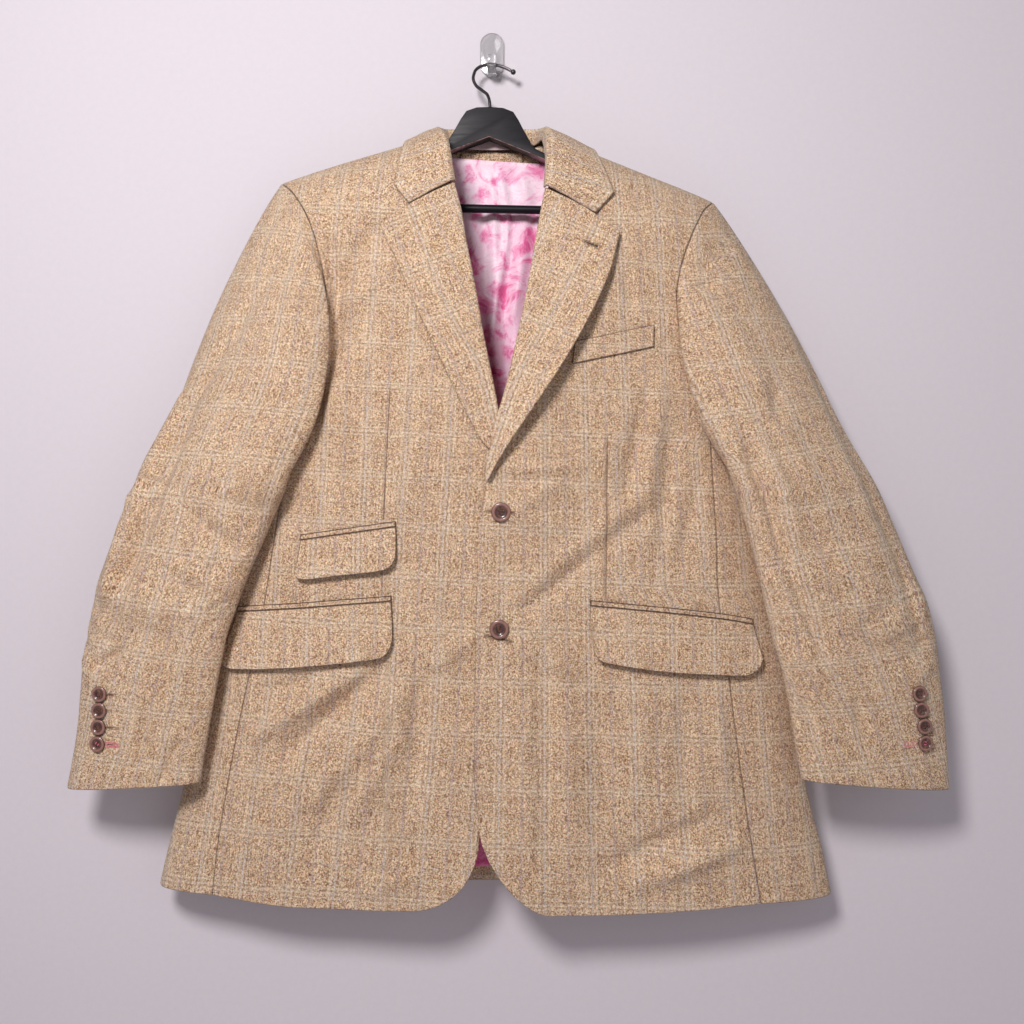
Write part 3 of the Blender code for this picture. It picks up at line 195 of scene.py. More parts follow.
# Lapels from the gorge down: fold line, outer edge and how far that edge stands off.
Lapel = namedtuple("Lapel", "foldX foldZ edgeX edgeZ stand")
lapelEdges = {
    -1: rowsOf(Lapel, (-39, -167.3, -113, -208.5, 1.0), (-32, -196, -107, -225, 1.0),
        (-27, -226, -97, -244, 1.4), (-18, -272, -74, -298, 2.0), (-8, -328, -46, -359, 2.0),
        (3, -380, -20, -412, 1.2), (9, -410, -7, -434, 0.2), (17, -438, 9, -449, 0.0)),
    1: rowsOf(Lapel, (58, -173.6, 132, -218.5, 2.0), (53, -200, 127, -235, 6.0),
        (48, -228, 121, -257, 10.0), (40, -275, 97, -311, 16.0), (29, -328, 69, -360, 18.0),
        (17, -380, 39, -405, 16.0), (6, -416, 14, -442, 9.0), (-4, -462, -4, -474, 2.5)),
}

# Flaps, jets and welt: the top and bottom line of each, column by column.
Flap = namedtuple("Flap", "topX topZ lowX lowZ")
rightHipTable = rowsOf(Flap, (-263, -608, -282, -668), (-230, -605.5, -245, -666.5),
    (-195, -603, -205, -664), (-160, -600, -165, -660), (-130, -597.5, -130, -656),
    (-111, -596, -110, -652), (-101, -595, -99, -640))
leftHipTable = rowsOf(Flap, (102, -600, 104, -645), (112, -601, 113, -656), (140, -603.5, 141, -662),
    (180, -607.5, 183, -668), (215, -611.5, 223, -671), (250, -616.5, 260, -673), (272, -621, 281, -664))
ticketTable = rowsOf(Flap, (-195, -533, -200, -575), (-170, -529.5, -172, -571.5), (-145, -526, -145, -568),
    (-120, -522.5, -118, -565), (-106, -520.5, -105, -562), (-96, -519, -95.5, -553))
weltTable = rowsOf(Flap, (86, -330, 83, -353.5), (112, -325, 111, -347.5), (140, -318.5, 139, -341.5),
    (166, -313, 167, -335))

# Soft creases of the body's front: from, to, half width and height (out is positive).
Crease = namedtuple("Crease", "x0 z0 x1 z1 width height")
bodyCreases = rowsOf(Crease, (30, -500, 130, -430, 20, 2.5), (60, -560, 150, -640, 26, -2.5),
    (-40, -520, -140, -470, 24, 2.0), (-60, -640, -160, -780, 30, 2.5), (40, -680, 60, -880, 30, 3.0),
    (180, -700, 215, -880, 26, 3.5), (-225, -690, -250, -880, 22, 3.0), (120, -700, 135, -900, 24, -2.5),
    (-130, -700, -150, -900, 26, -2.5), (150, -230, 120, -320, 24, 2.5), (-140, -230, -115, -320, 24, 2.0),
    (205, -480, 240, -560, 14, 3.5))
# Soft creases of the back.
backCreases = rowsOf(Crease, (90, -330, 110, -560, 34, 3.0), (-100, -330, -110, -560, 34, 3.0),
    (60, -640, 80, -880, 32, 3.0), (-150, -620, -190, -880, 32, 3.0), (180, -640, 230, -880, 30, 2.5),
    (-30, -560, -40, -860, 28, -2.0))
# Creases of the sleeves: from and to as (section, turn), half width and height.
Pleat = namedtuple("Pleat", "ring0 turn0 ring1 turn1 width height")
sleeveCreases = {
    -1: rowsOf(Pleat, (2.2, 20, 3.4, 110, 0.30, 4.0), (3.0, 10, 4.2, 80, 0.26, -3.0),
        (4.0, 20, 5.4, 60, 0.30, 3.0), (1.0, 130, 2.4, 60, 0.30, -2.5), (1.2, 220, 2.6, 320, 0.40, 4.0),
        (3.2, 230, 4.2, 320, 0.35, -3.5)),
    1: rowsOf(Pleat, (2.4, 30, 3.6, 110, 0.30, 4.0), (3.4, 20, 4.4, 90, 0.26, -3.5),
        (4.2, 60, 5.6, 30, 0.30, 3.0), (0.6, 120, 2.2, 70, 0.30, -2.5), (1.4, 220, 2.4, 320, 0.40, 4.0),
        (3.0, 320, 4.4, 230, 0.35, -3.5)),
}
# Folds of the back lining seen in the neck.
liningCreases = rowsOf(Crease, (-26, -130, -20, -420, 9, 5.0), (2, -120, 6, -470, 7, 6.0),
    (28, -150, 24, -500, 8, 5.0), (-8, -150, -6, -420, 6, -3.0), (48, -170, 44, -420, 9, -3.0),
    (-48, -180, -46, -420, 10, 3.0), (-90, -240, -96, -820, 16, 4.0), (90, -260, 98, -820, 16, 4.0),
    (0, -560, -4, -860, 9, 4.0))


class Line:
    # Smooth curve through a table that never swings past its own points.

    def __init__(self, places, values):
        order = sorted(range(len(places)), key=lambda i: places[i])
        self.x = [float(places[i]) for i in order]
        self.y = [float(values[i]) for i in order]
        steps = [(self.y[i + 1] - self.y[i]) / (self.x[i + 1] - self.x[i]) for i in range(len(order) - 1)]
        self.slope = [steps[0]]
        for before, after in zip(steps, steps[1:]):
            flat = before * after <= 0
            self.slope.append(0.0 if flat else 2 * before * after / (before + after))
        self.slope.append(steps[-1])

    def __call__(self, at):
        if at <= self.x[0]:
            return self.y[0] + self.slope[0] * (at - self.x[0])
        if at >= self.x[-1]:
            return self.y[-1] + self.slope[-1] * (at - self.x[-1])
        i = bisect.bisect_right(self.x, at) - 1
        span = self.x[i + 1] - self.x[i]
        t = (at - self.x[i]) / span
        rise = self.y[i + 1] - self.y[i]
        bend = (self.slope[i] * span - rise) * (1 - t) + (rise - self.slope[i + 1] * span) * t
        return self.y[i] + rise * t + t * (1 - t) * bend


def column(table, place, value):
    return Line([getattr(row, place) for row in table], [getattr(row, value) for row in table])


def tableLines(table):
    # One smooth line for every value of a table, over the number of the row.
    return {key: Line(range(len(table)), [getattr(row, key) for row in table]) for key in table[0]._fields}


def between(a, b, t):
    return a + (b - a) * t


def ease(t):
    t = min(max(t, 0.0), 1.0)
    return t * t * (3 - 2 * t)


def sideLines(table, place, right, left):
    return {-1: column(table, place, right), 1: column(table, place, left)}


halfWidth = sideLines(bodySections, "z", "right", "left")
backNeck = Line((0, 20, 40, 56, 70, 80), (26, 23, 14, 6, 0, 0))    # fall of the back neck below the ridge
frontY = column(bodySections, "z", "front")
backY = column(bodySections, "z", "back")
sideY = column(bodySections, "z", "side")
ridgeLine = sideLines(shoulderTable, "x", "right", "left")
frontHem = sideLines(hemTable, "x", "rightFront", "leftFront")
backHem = sideLines(hemTable, "x", "rightBack", "leftBack")
seamLines = {(side, which): column(table, "z", which)
             for side, table in sideSeams.items() for which in ("front", "back")}
armLines = {side: tableLines(table) for side, table in armSections.items()}
lapelSides = {side: tableLines(table) for side, table in lapelEdges.items()}


def roundOf(x, side, z):
    # Place round the section, 0 at the centre front and 0.5 at the side, of a front x.
    reach = min(abs(x) / halfWidth[side](z), 1.0)
    return math.asin(reach ** (sectionPower / 2)) / math.pi


def bodyPoint(side, around, z):
    # Point of the jacket's outside, around from 0 at centre front to 1 at centre back.
    angle = math.pi * abs(around)
    power = 2 / sectionPower
    out = halfWidth[side](z) * abs(math.sin(angle)) ** power
    x = side * (out if 0 <= around <= 1 else -out)
    face = frontY(z) if abs(around) < 0.5 else backY(z)
    y = between(sideY(z), face, abs(math.cos(angle)) ** power)
    fall = min(max((ridgeLine[side](out) - z) / shoulderRound, 0.0), 1.0)
    y = ridgeY + (y - ridgeY) * math.sqrt(1 - (1 - fall) ** 2)
    return Vector((x, y, z))


def belowRidge(side, out, fall):
    # Height at a walk of fall from the ridge: 0 on it, 1 where the round ends.
    if fall < 1:
        return ridgeLine[side](out) - shoulderRound * (1 - math.cos(fall * math.pi / 2))
    return ridgeLine[side](out) - shoulderRound - (fall - 1) * shoulderRound * math.pi / 2


def fallOf(side, out, z):
    depth = ridgeLine[side](out) - z
    if depth < shoulderRound:
        return 2 / math.pi * math.acos(1 - max(depth, 0.0) / shoulderRound)
    return 1 + (depth - shoulderRound) / (shoulderRound * math.pi / 2)


def bodyNormal(side, around, z):
    stepRound = 0.006
    stepFall = 0.03
    reach = halfWidth[side](z)

    def sample(turn, fall):
        out = reach * abs(math.sin(math.pi * abs(turn))) ** (2 / sectionPower)
        return bodyPoint(side, turn, belowRidge(side, out, max(fall, 0.0)))

    out = reach * abs(math.sin(math.pi * abs(around))) ** (2 / sectionPower)
    fall = fallOf(side, out, z)
    across = sample(around + stepRound, fall) - sample(around - stepRound, fall)
    down = sample(around, fall + stepFall) - sample(around, fall - stepFall)
    normal = across.cross(down) * -side
    return normal.normalized()


def foldHeight(table, u, v, beyond, squash=1.0):
    # Sum of soft ridges and hollows that fade out a little beyond their ends.
    total = 0.0
    for u0, v0, u1, v1, width, height in table:
        run = Vector((u1 - u0, (v1 - v0) / squash))
        place = Vector((u - u0, (v - v0) / squash))
        along = place.dot(run) / run.length_squared
        off = (place - run * min(max(along, 0.0), 1.0)).length
        fade = math.sin(math.pi * min(max((along + beyond) / (1 + 2 * beyond), 0.0), 1.0))
        total += height * fade * math.exp(-(off / width) ** 2)
    return total


def creaseHeight(table, x, z):
    return foldHeight(table, x, z, 0.25)


def pleatHeight(table, ring, turn):
    return foldHeight(table, ring, turn, 0.3, 60.0)


def onBody(side, around, z, lift=0.0):
    # Outside of the cloth with its creases, moved out by lift, and the way out.
    place = bodyPoint(side, around, z)
    normal = bodyNormal(side, around, z)
    height = creaseHeight(bodyCreases if abs(around) < 0.5 else backCreases, place.x, z)
    height *= ease((ridgeLine[side](abs(place.x)) - z) / shoulderRound)
    height *= ease(abs(abs(around) - 0.5) / 0.12)
    return place + normal * (height + lift), normal


def onFront(x, z, lift=0.0, side=None):
    # The same for a place of the front given by its x and z.
    side = side or (-1 if x < 0 else 1)
    around = roundOf(x, side, z)
    return onBody(side, math.copysign(around, x * side), z, lift)


def hemHeight(side, x, back=False):
    # Height of the hem, with the rounded quarter of the front.
    out = x * side
    if back:
        return backHem[side](abs(out))
    base = frontHem[side](max(out, 0.0))
    q = quarterCut[side]
    into = (x - q.start) * -side
    t = min(max(into / q.reach, 0.0), 1.0)
    return base + q.rise * (1 - (1 - t ** q.power) ** (1 / q.power))


def rowHeight(side, x, row, back=False):
    # Height of a row: 0 the hem, 1 where the shoulder's round begins, 2 its ridge.
    out = abs(x)
    if row <= 1:
        return between(hemHeight(side, x, back), ridgeLine[side](out) - shoulderRound, row)
    return belowRidge(side, out, 2 - row)


def rowOf(side, x, z, back=False):
    out = abs(x)
    low = hemHeight(side, x, back)
    high = ridgeLine[side](out) - shoulderRound
    if z <= high:
        return (z - low) / (high - low)
    return 2 - fallOf(side, out, z)


def seamRowX(side, which, row):
    # Where a side seam crosses a row.
    back = which == "back"
    z = rowHeight(side, side * 280, row, back)
    for _ in range(8):
        x = seamLines[side, which](z)
        z = rowHeight(side, side * x, row, back)
    return x, z


def edgeLine(side):
    # x of a front's own edge over the rows, up the roll line to the neck.
    edge = rightEdge if side < 0 else leftEdge
    roll = rightRoll if side < 0 else leftRoll
    rows = [e.row for e in edge]
    xs = [e.x for e in edge]
    for r in roll:
        rows.append(rowOf(side, r.x, r.z))
        xs.append(r.x)
    rows.append(2.0)
    xs.append(roll[-1].x + side * 1.0)
    return Line(rows, xs)


def ringPoint(side, ring, turn):
    # Point of the arm below the underarm; ring counts the rows of its table.
    value = {key: line(ring) for key, line in armLines[side].items()}
    outer = Vector((side * value["outerX"], value["outerY"], value["outerZ"]))
    inner = Vector((side * value["innerX"], value["innerY"], value["innerZ"]))
    angle = math.radians(turn)
    power = 2 / sleevePower
    across = math.copysign(abs(math.cos(angle)) ** power, math.cos(angle))
    depth = math.copysign(abs(math.sin(angle)) ** power, math.sin(angle))
    reach = value["front"] if depth > 0 else value["back"]
    return (outer + inner) / 2 + (outer - inner) / 2 * across + Vector((0, -reach * depth, 0))


def clearOfBody(side, place, clear, own):
    # The place itself, or the nearest one outside the body by clear, rather near its own turn.
    best = None
    for i in range(125):
        around = between(0.18, 0.80, i / 124)
        point = bodyPoint(side, around, place.z)
        gap = (place - point).length + ownPull * abs(around - own)
        if best is None or gap < best[0]:
            best = (gap, around, point)
    gap, around, point = best
    normal = bodyNormal(side, around, place.z)
    if (place - point).dot(normal) > clear:
        return place
    return point + normal * clear


def rimWay(bodyWay, turn):
    # Way out of the sleeve's edge: with the body's cloth, but down at the underarm.
    under = ease((turn - 150) / 45) * ease((295 - turn) / 35)
    return bodyWay.lerp(Vector((0, 0, -1)), under).normalized()


def collarEdge(side, fold):
    # Free edge of the collar, just clear of the cloth that it lies on.
    around = roundOf(fold.edgeX, side, fold.edgeZ)
    if fold.face == "ridge":
        return Vector((side * fold.edgeX, ridgeY, ridgeLine[side](fold.edgeX) + collarLift))
    return onBody(side, around if fold.face == "front" else 1 - around, fold.edgeZ, collarLift)[0]


def collarSection(side, fold):
    # From the stand up over the fold and down to the free edge, along the outside.
    stand = Vector((side * fold.standX, fold.standY, fold.standZ))
    top = Vector((side * fold.foldX, fold.foldY, fold.foldZ))
    edge = collarEdge(side, fold)
    rise = (top - stand).normalized()
    out = (edge - top).normalized()
    return [stand, stand.lerp(top, 0.55), top - rise * 1.5, top,
            top + out * 4.0 + (top - stand).normalized() * 0.2, top.lerp(edge, 0.45) + Vector((0, 0, 0.6)),
            top.lerp(edge, 0.75), edge]


def spread(sections, perGap):
    # More sections between those given, on a smooth curve through them. The free edge runs
    # straight from the gorge to the collar's corner and on from there.
    count, last = len(sections[0]), len(sections) - 1
    places = range(len(sections))
    lines = [[Line(places, [section[j][k] for section in sections]) for k in range(3)] for j in range(count)]
    ends = (0.0, 0.05, 0.14, 0.3, 0.5, 0.7, 0.86, 0.95)
    found = []
    for gap in range(last):
        inner = ends if gap in (0, last - 1) else [n / perGap for n in range(perGap)]
        found += [gap + t for t in inner]
    made = []
    for at in found + [last]:
        row = [Vector([line(at) for line in lines[j]]) for j in range(count)]
        if at < 2 or at > last - 2:
            low = min(int(at), last - 1)
            row[-1] = sections[low][-1].lerp(sections[low + 1][-1], at - low)
        made.append(row)
    return made


def jetOver(table):
    # The narrow jet that stands just above a flap's top line.
    low = [(f.topX, f.topZ + seamGap) for f in table]
    return [Flap(x, z + jetHeight, x, z) for x, z in low]


def liningTop(x):
    # Upper edge of the lining, along the neck and down beside it under the fronts.
    neck = 46 if x < 0 else 58
    return -121.6 - 0.066 * x - 44 * ease((abs(x) - neck) / 40) - 0.32 * max(abs(x) - 60, 0)


def sleeveSurface(side, x, z):
    # Front of the arm at a given x and z.
    ring, turn = 5.0, 45.0
    for _ in range(40):
        here = ringPoint(side, ring, turn)
        ring += (here.z - z) / 55.0 * 0.7
        turn += (side * here.x - x) * 0.25
    here = ringPoint(side, ring, turn)
    along = ringPoint(side, ring + 0.1, turn) - ringPoint(side, ring - 0.1, turn)
    around = ringPoint(side, ring, turn + 3) - ringPoint(side, ring, turn - 3)
    normal = (around.cross(along) * side).normalized()
    return here, normal


def tilted(points, degrees):
    # Turned about the origin, as the hanger leans on its hook.
    c = math.cos(math.radians(degrees))
    s = math.sin(math.radians(degrees))
    return [(x * c - z * s, x * s + z * c) for x, z in points]


def wireRoute():
    # Centre of the hook's wire from the yoke to its tip, leaning towards the wall.
    return [Vector(p) for p in ((-1.5, -36, -71.6), (-2, -35, -64), (-4.5, -32, -55), (-11, -29, -48.5),
                                (-17, -26, -42.5), (-20, -24, -34), (-18, -22, -25.5), (-11, -20.5, -19.5),
                                (-1.7, -20, -17.7), (8, -20, -19), (16, -20.5, -22), (20.5, -21, -24.6))]


def smoothRoute(points, perGap):
    lengths = [0.0]
    for a, b in zip(points, points[1:]):
        lengths.append(lengths[-1] + (b - a).length)
    lines = [Line(lengths, [p[k] for p in points]) for k in range(3)]
    steps = (len(points) - 1) * perGap
    return [Vector([line(lengths[-1] * i / steps) for line in lines]) for i in range(steps + 1)]


armholeLines = {}


def armholePlace(side, turn):
    # (around, z) of the armhole at a turn; front and back meet on the ridge at turn 0.
    if side not in armholeLines:
        rows = armholeTable[side]
        tip = rows[0]
        turns = [a.turn for a in rows] + [360]
        arounds = []
        for a in rows:
            around = roundOf(a.x, side, a.z)
            arounds.append(0.5 if a.face == "side" else 1 - around if a.face == "back" else around)
        arounds.append(1 - roundOf(tip.x, side, tip.z))
        armholeLines[side] = Line(turns, arounds), Line(turns, [a.z for a in rows] + [tip.z])
    arounds, heights = armholeLines[side]
    return arounds(turn % 360), heights(turn % 360)


def overlapLift(side, x, z):
    # How far a front stands out near the centre, where the left lies over the right.
    if side < 0:
        return 0.0
    full = between(overlapLow, overlapHigh, ease((z + 560) / 70))
    return full * ease((92 - x) / 55) * (1 - ease((z + 300) / 90))


def sideRows(side, which, rowCount, turnStep):
    # (x, row) up one side seam and the armhole to the shoulder tip.
    back = which == "back"
    start = backSeamTurn if back else frontSeamTurn
    around, z = armholePlace(side, start)
    top = rowOf(side, bodyPoint(side, around, z).x, z, back)
    found = []
    for i in range(rowCount):
        row = top * stationPlace(i, rowCount, 700.0)
        found.append((side * seamRowX(side, which, row)[0], row))
    far = 360 if back else 0
    count = int(abs(far - start) / turnStep)
    for i in range(count):
        around, z = armholePlace(side, between(start, far, i / count))
        x = bodyPoint(side, around, z).x
        found.append((x, rowOf(side, x, z, back)))
    tip = armholeTable[side][0]
    found.append((side * tip.x, 2.0))
    return found


def stationPlace(i, count, length):
    # Row places from 0 to nearly 1, the first two close to the edge.
    if i < 3:
        return (0.0, 1.3, 3.4)[i] / length
    return between(3.4 / length, 1.0, (i - 2) / (count - 2))


def stations(total, step):
    # Places along a length, dense at both ends so that an edge can be rounded.
    if total < 14:
        return np.linspace(0, total, 7)
    count = max(int((total - 7) / step), 2)
    return np.concatenate([[0, 1.3], np.linspace(3.4, total - 3.4, count), [total - 1.3, total]])


def curved(values, places, at):
    # Smooth curve through values at places, read at the places of at.
    values = np.asarray(values, float)
    places = np.asarray(places, float)
    shape = (-1,) + (1,) * (values.ndim - 1)
    step = np.diff(places)
    slope = np.diff(values, axis=0) / step.reshape(shape)
    tangent = np.empty_like(values)
    tangent[0], tangent[-1] = slope[0], slope[-1]
    before, after = step[:-1].reshape(shape), step[1:].reshape(shape)
    tangent[1:-1] = (slope[:-1] * after + slope[1:] * before) / (after + before)
    i = np.clip(np.searchsorted(places, at, side="right") - 1, 0, len(places) - 2)
    h = step[i].reshape(shape)
    t = (np.asarray(at) - places[i]).reshape(shape) / h
    return ((2 * t**3 - 3 * t**2 + 1) * values[i] + (t**3 - 2 * t**2 + t) * h * tangent[i]
            + (3 * t**2 - 2 * t**3) * values[i + 1] + (t**3 - t**2) * h * tangent[i + 1])


def chords(grid, axis):
    # Mean distances along one way of a grid, added up.
    steps = np.linalg.norm(np.diff(grid, axis=axis), axis=2)
    return np.concatenate([[0], np.cumsum(steps.mean(axis=1 - axis))])


def refine(points, ways, across, down=None):
    # The same surface with columns across mm apart, and rows down mm apart where down is given.
    rowPlaces, columnPlaces = chords(points, 0), chords(points, 1)
    columnsAt = stations(columnPlaces[-1], across)
    made = []
    for values in (points, ways):
        if down:
            values = curved(values, rowPlaces, stations(rowPlaces[-1], down))
        made.append(curved(values.swapaxes(0, 1), columnPlaces, columnsAt).swapaxes(0, 1))
    return made[0], unit(made[1])


def unit(ways):
    return ways / np.maximum(np.linalg.norm(ways, axis=-1, keepdims=True), 1e-9)


def gridWays(points, flip):
    # Way out of every point of a grid, from the grid itself.
    along = np.gradient(points, axis=0)
    across = np.gradient(points, axis=1)
    return unit(np.cross(along, across) * flip)


def gridOf(rows):
    # Points and their ways out as two grids, from rows of (point, way out).
    grid = [list(row) for row in rows]
    return [np.array([[spot[k] for spot in row] for row in grid]) for k in (0, 1)]


def evenly(count, length=100.0):
    # Places from 0 to 1 over a piece, close together at both ends for the rolled edges.
    return stations(length, length / count) / length


def ripple(x, z, seed, height, size=70.0):
    # Slight unevenness of hanging cloth.
    return height * (noise.noise(Vector((x / size, z / size / 1.8, seed)))
                     + 0.5 * noise.noise(Vector((x / size * 2.3, z / size, seed + 9))))


def clothMesh(name, points, ways, thickness, uv):
    # A thin wall of cloth with rolled edges; points are its outside in millimetres.
    rows, columns = points.shape[:2]
    outside = points.copy()
    inside = points - ways * thickness
    rim = [(0, j) for j in range(columns)]
    rim += [(i, columns - 1) for i in range(1, rows)]
    rim += [(rows - 1, j) for j in range(columns - 2, -1, -1)]
    rim += [(i, 0) for i in range(rows - 2, 0, -1)]
    edge = []
    for i, j in rim:
        beyond = np.zeros(3)
        for inner in ((i + (i == 0) - (i == rows - 1), j), (i, j + (j == 0) - (j == columns - 1))):
            if inner != (i, j):
                away = points[i, j] - points[inner]
                beyond += away / max(np.linalg.norm(away), 1e-6)
        beyond /= max(np.linalg.norm(beyond), 1e-6)
        middle = (outside[i, j] + inside[i, j]) / 2
        edge.append(middle + beyond * thickness * 0.1)
    for i, j in rim:
        outside[i, j] -= ways[i, j] * thickness * 0.28
        inside[i, j] += ways[i, j] * thickness * 0.28
    verts = np.concatenate([outside.reshape(-1, 3), inside.reshape(-1, 3), np.array(edge)]) * mm
    half = rows * columns
    faces = []
    for i in range(rows - 1):
        for j in range(columns - 1):
            a = i * columns + j
            faces.append((a, a + 1, a + columns + 1, a + columns))
            faces.append((half + a, half + a + columns, half + a + columns + 1, half + a + 1))
    for k in range(len(rim)):
        after = (k + 1) % len(rim)
        a = rim[k][0] * columns + rim[k][1]
        b = rim[after][0] * columns + rim[after][1]
        faces.append((b, a, 2 * half + k, 2 * half + after))
        faces.append((2 * half + after, 2 * half + k, half + a, half + b))
    i, j = rows // 2, columns // 2
    turned = np.cross(points[i, j + 1] - points[i, j], points[i + 1, j] - points[i, j])
    if np.dot(turned, ways[i, j]) < 0:
        faces = [face[::-1] for face in faces]
    mesh = bpy.data.meshes.new(name)
    mesh.from_pydata(verts.tolist(), [], faces)
    flat = np.concatenate([uv.reshape(-1, 2), uv.reshape(-1, 2), np.array([uv[i, j] for i, j in rim])])
    layer = mesh.uv_layers.new(name="cloth")
    corners = np.empty(len(mesh.loops), dtype=np.int32)
    mesh.loops.foreach_get("vertex_index", corners)
    layer.data.foreach_set("uv", flat[corners].ravel())
    rimAway = np.concatenate([edgeDistance(points).ravel()] * 2 + [np.zeros(len(rim))])
    mesh.attributes.new("rim", "FLOAT", "POINT").data.foreach_set("value", rimAway)
    mesh.shade_smooth()
    return mesh


def edgeDistance(points):
    # How far each point of a grid is from the piece's nearest edge, in millimetres.
    near = np.full(points.shape[:2], 60.0)
    for axis in (0, 1):
        steps = np.linalg.norm(np.diff(points, axis=axis), axis=2)
        start = np.zeros_like(steps[:1] if axis == 0 else steps[:, :1])
        run = np.concatenate([start, np.cumsum(steps, axis=axis)], axis=axis)
        last = run[-1:] if axis == 0 else run[:, -1:]
        near = np.minimum(near, np.minimum(run, last - run))
    return near


def clothArea(points):
    a = points[1:, 1:] - points[:-1, :-1]
    b = points[1:, :-1] - points[:-1, 1:]
    return float(np.linalg.norm(np.cross(a, b), axis=2).sum() / 2) * mm * mm


def meshOf(build, name):
    mesh = bpy.data.meshes.new(name)
    build.to_mesh(mesh)
    build.free()
    return mesh


def placed(name, data):
    made = bpy.data.objects.new(name, data)
    bpy.context.scene.collection.objects.link(made)
    return made


def clothPiece(name, node, points, ways, thickness, uv, look):
    # One cut piece: its mesh and material, hung on the root with its part hidden; its flat size is worked out
    # but not used.
    piece = placed(name, clothMesh(name, points, ways, thickness, uv))
    piece.data.materials.append(look)
    area = clothArea(points)
    size = [float(np.linalg.norm(np.diff(points, axis=k), axis=2).sum(axis=k).max()) * mm for k in (1, 0)]
    if area > size[0] * size[1]:
        grow = math.sqrt(area / (size[0] * size[1])) * 1.001
        size = [s * grow for s in size]
    size = [max(s, 0.0101) for s in size]
    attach(piece, "root")
    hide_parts(node)
    return piece


def plainPiece(name, mesh, look, slot, *nodes):
    piece = placed(name, mesh)
    mesh.materials.clear()
    mesh.materials.append(look)
    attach(piece, "root")
    if nodes:
        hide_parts(*nodes)
    return piece


# Check lines of the cloth: place of the first lengthwise line and their repeat over the height,
# the heights of the cross lines, and how far those fall over the width, from which x.
CheckLine = namedtuple("CheckLine", "z x repeat")
checkLines = {
    -1: rowsOf(CheckLine, (-230, -32, 42.7), (-304, -35, 43.1), (-426, -41.1, 43.7), (-547.7, -49.2, 44.6),
        (-703, -56.3, 45.8), (-797, -64.5, 47.3), (-860, -69.6, 48.3)),
    1: rowsOf(CheckLine, (-237, 51.5, 40.7), (-443, 55.6, 41.7), (-544.7, 55.6, 43.7), (-703, 55.6, 45.5),
        (-797, 55.6, 47.0), (-860, 55.6, 48.3)),
}
crossLines = {
    -1: (-196.7, -242, -287.8, -332.6, -377.3, -423.1, -468.9, -518.2, -570.1, -621, -673.9, -727.8, -783.8,
         -841.8, -901.8),
    1: (-201.8, -246.6, -291.4, -335.1, -380.4, -426.7, -476, -524.9, -575.2, -628.1, -681, -734.9, -790.9,
        -849.9, -909.9),
}
crossFall = {-1: (0.055, -92), 1: (0.04, 110)}
dartShift = {    # x of a front's dart, how far it moves the check, and where
    -1: (-106, 8.5, Line((-600, -375), (1, 0))),
    1: (118, 11.0, Line((-600, -580, -440, -421), (0, 1, 1, 0))),
}
checkAcross = 0.044    # metres of cloth in one repeat of the check
checkDown = 0.053


def clothPlace(side, x, z, x0, repeat, cross):
    # Cloth coordinates of a place of the body.
    high = ridgeLine[side](abs(x)) - shoulderRound
    if z > high:
        z = high + (1 - fallOf(side, abs(x), z)) * 98
    fall, home = crossFall[side]
    dart, wide, taper = dartShift[side]
    beyond = side * (x - dart) > 0
    shift = side * wide * min(max(taper(z), 0.0), 1.0) if beyond else 0.0
    return (x + shift - x0(z)) / repeat(z) * checkAcross, -cross(z + fall * (x - home)) * checkDown


def checkCurves(side):
    cross = crossLines[side]
    table = checkLines[side]
    return column(table, "z", "x"), column(table, "z", "repeat"), Line(cross, range(len(cross)))


def bodyUv(side, points):
    curves = checkCurves(side)
    return np.array([[clothPlace(side, p[0], p[2], *curves) for p in row] for row in points])


# Fronts
frontLook = {"columns": 62, "rows": 120, "turnStep": 2.2, "unevenness": 1.3, "relief": 2.8, "seed": 3.0}
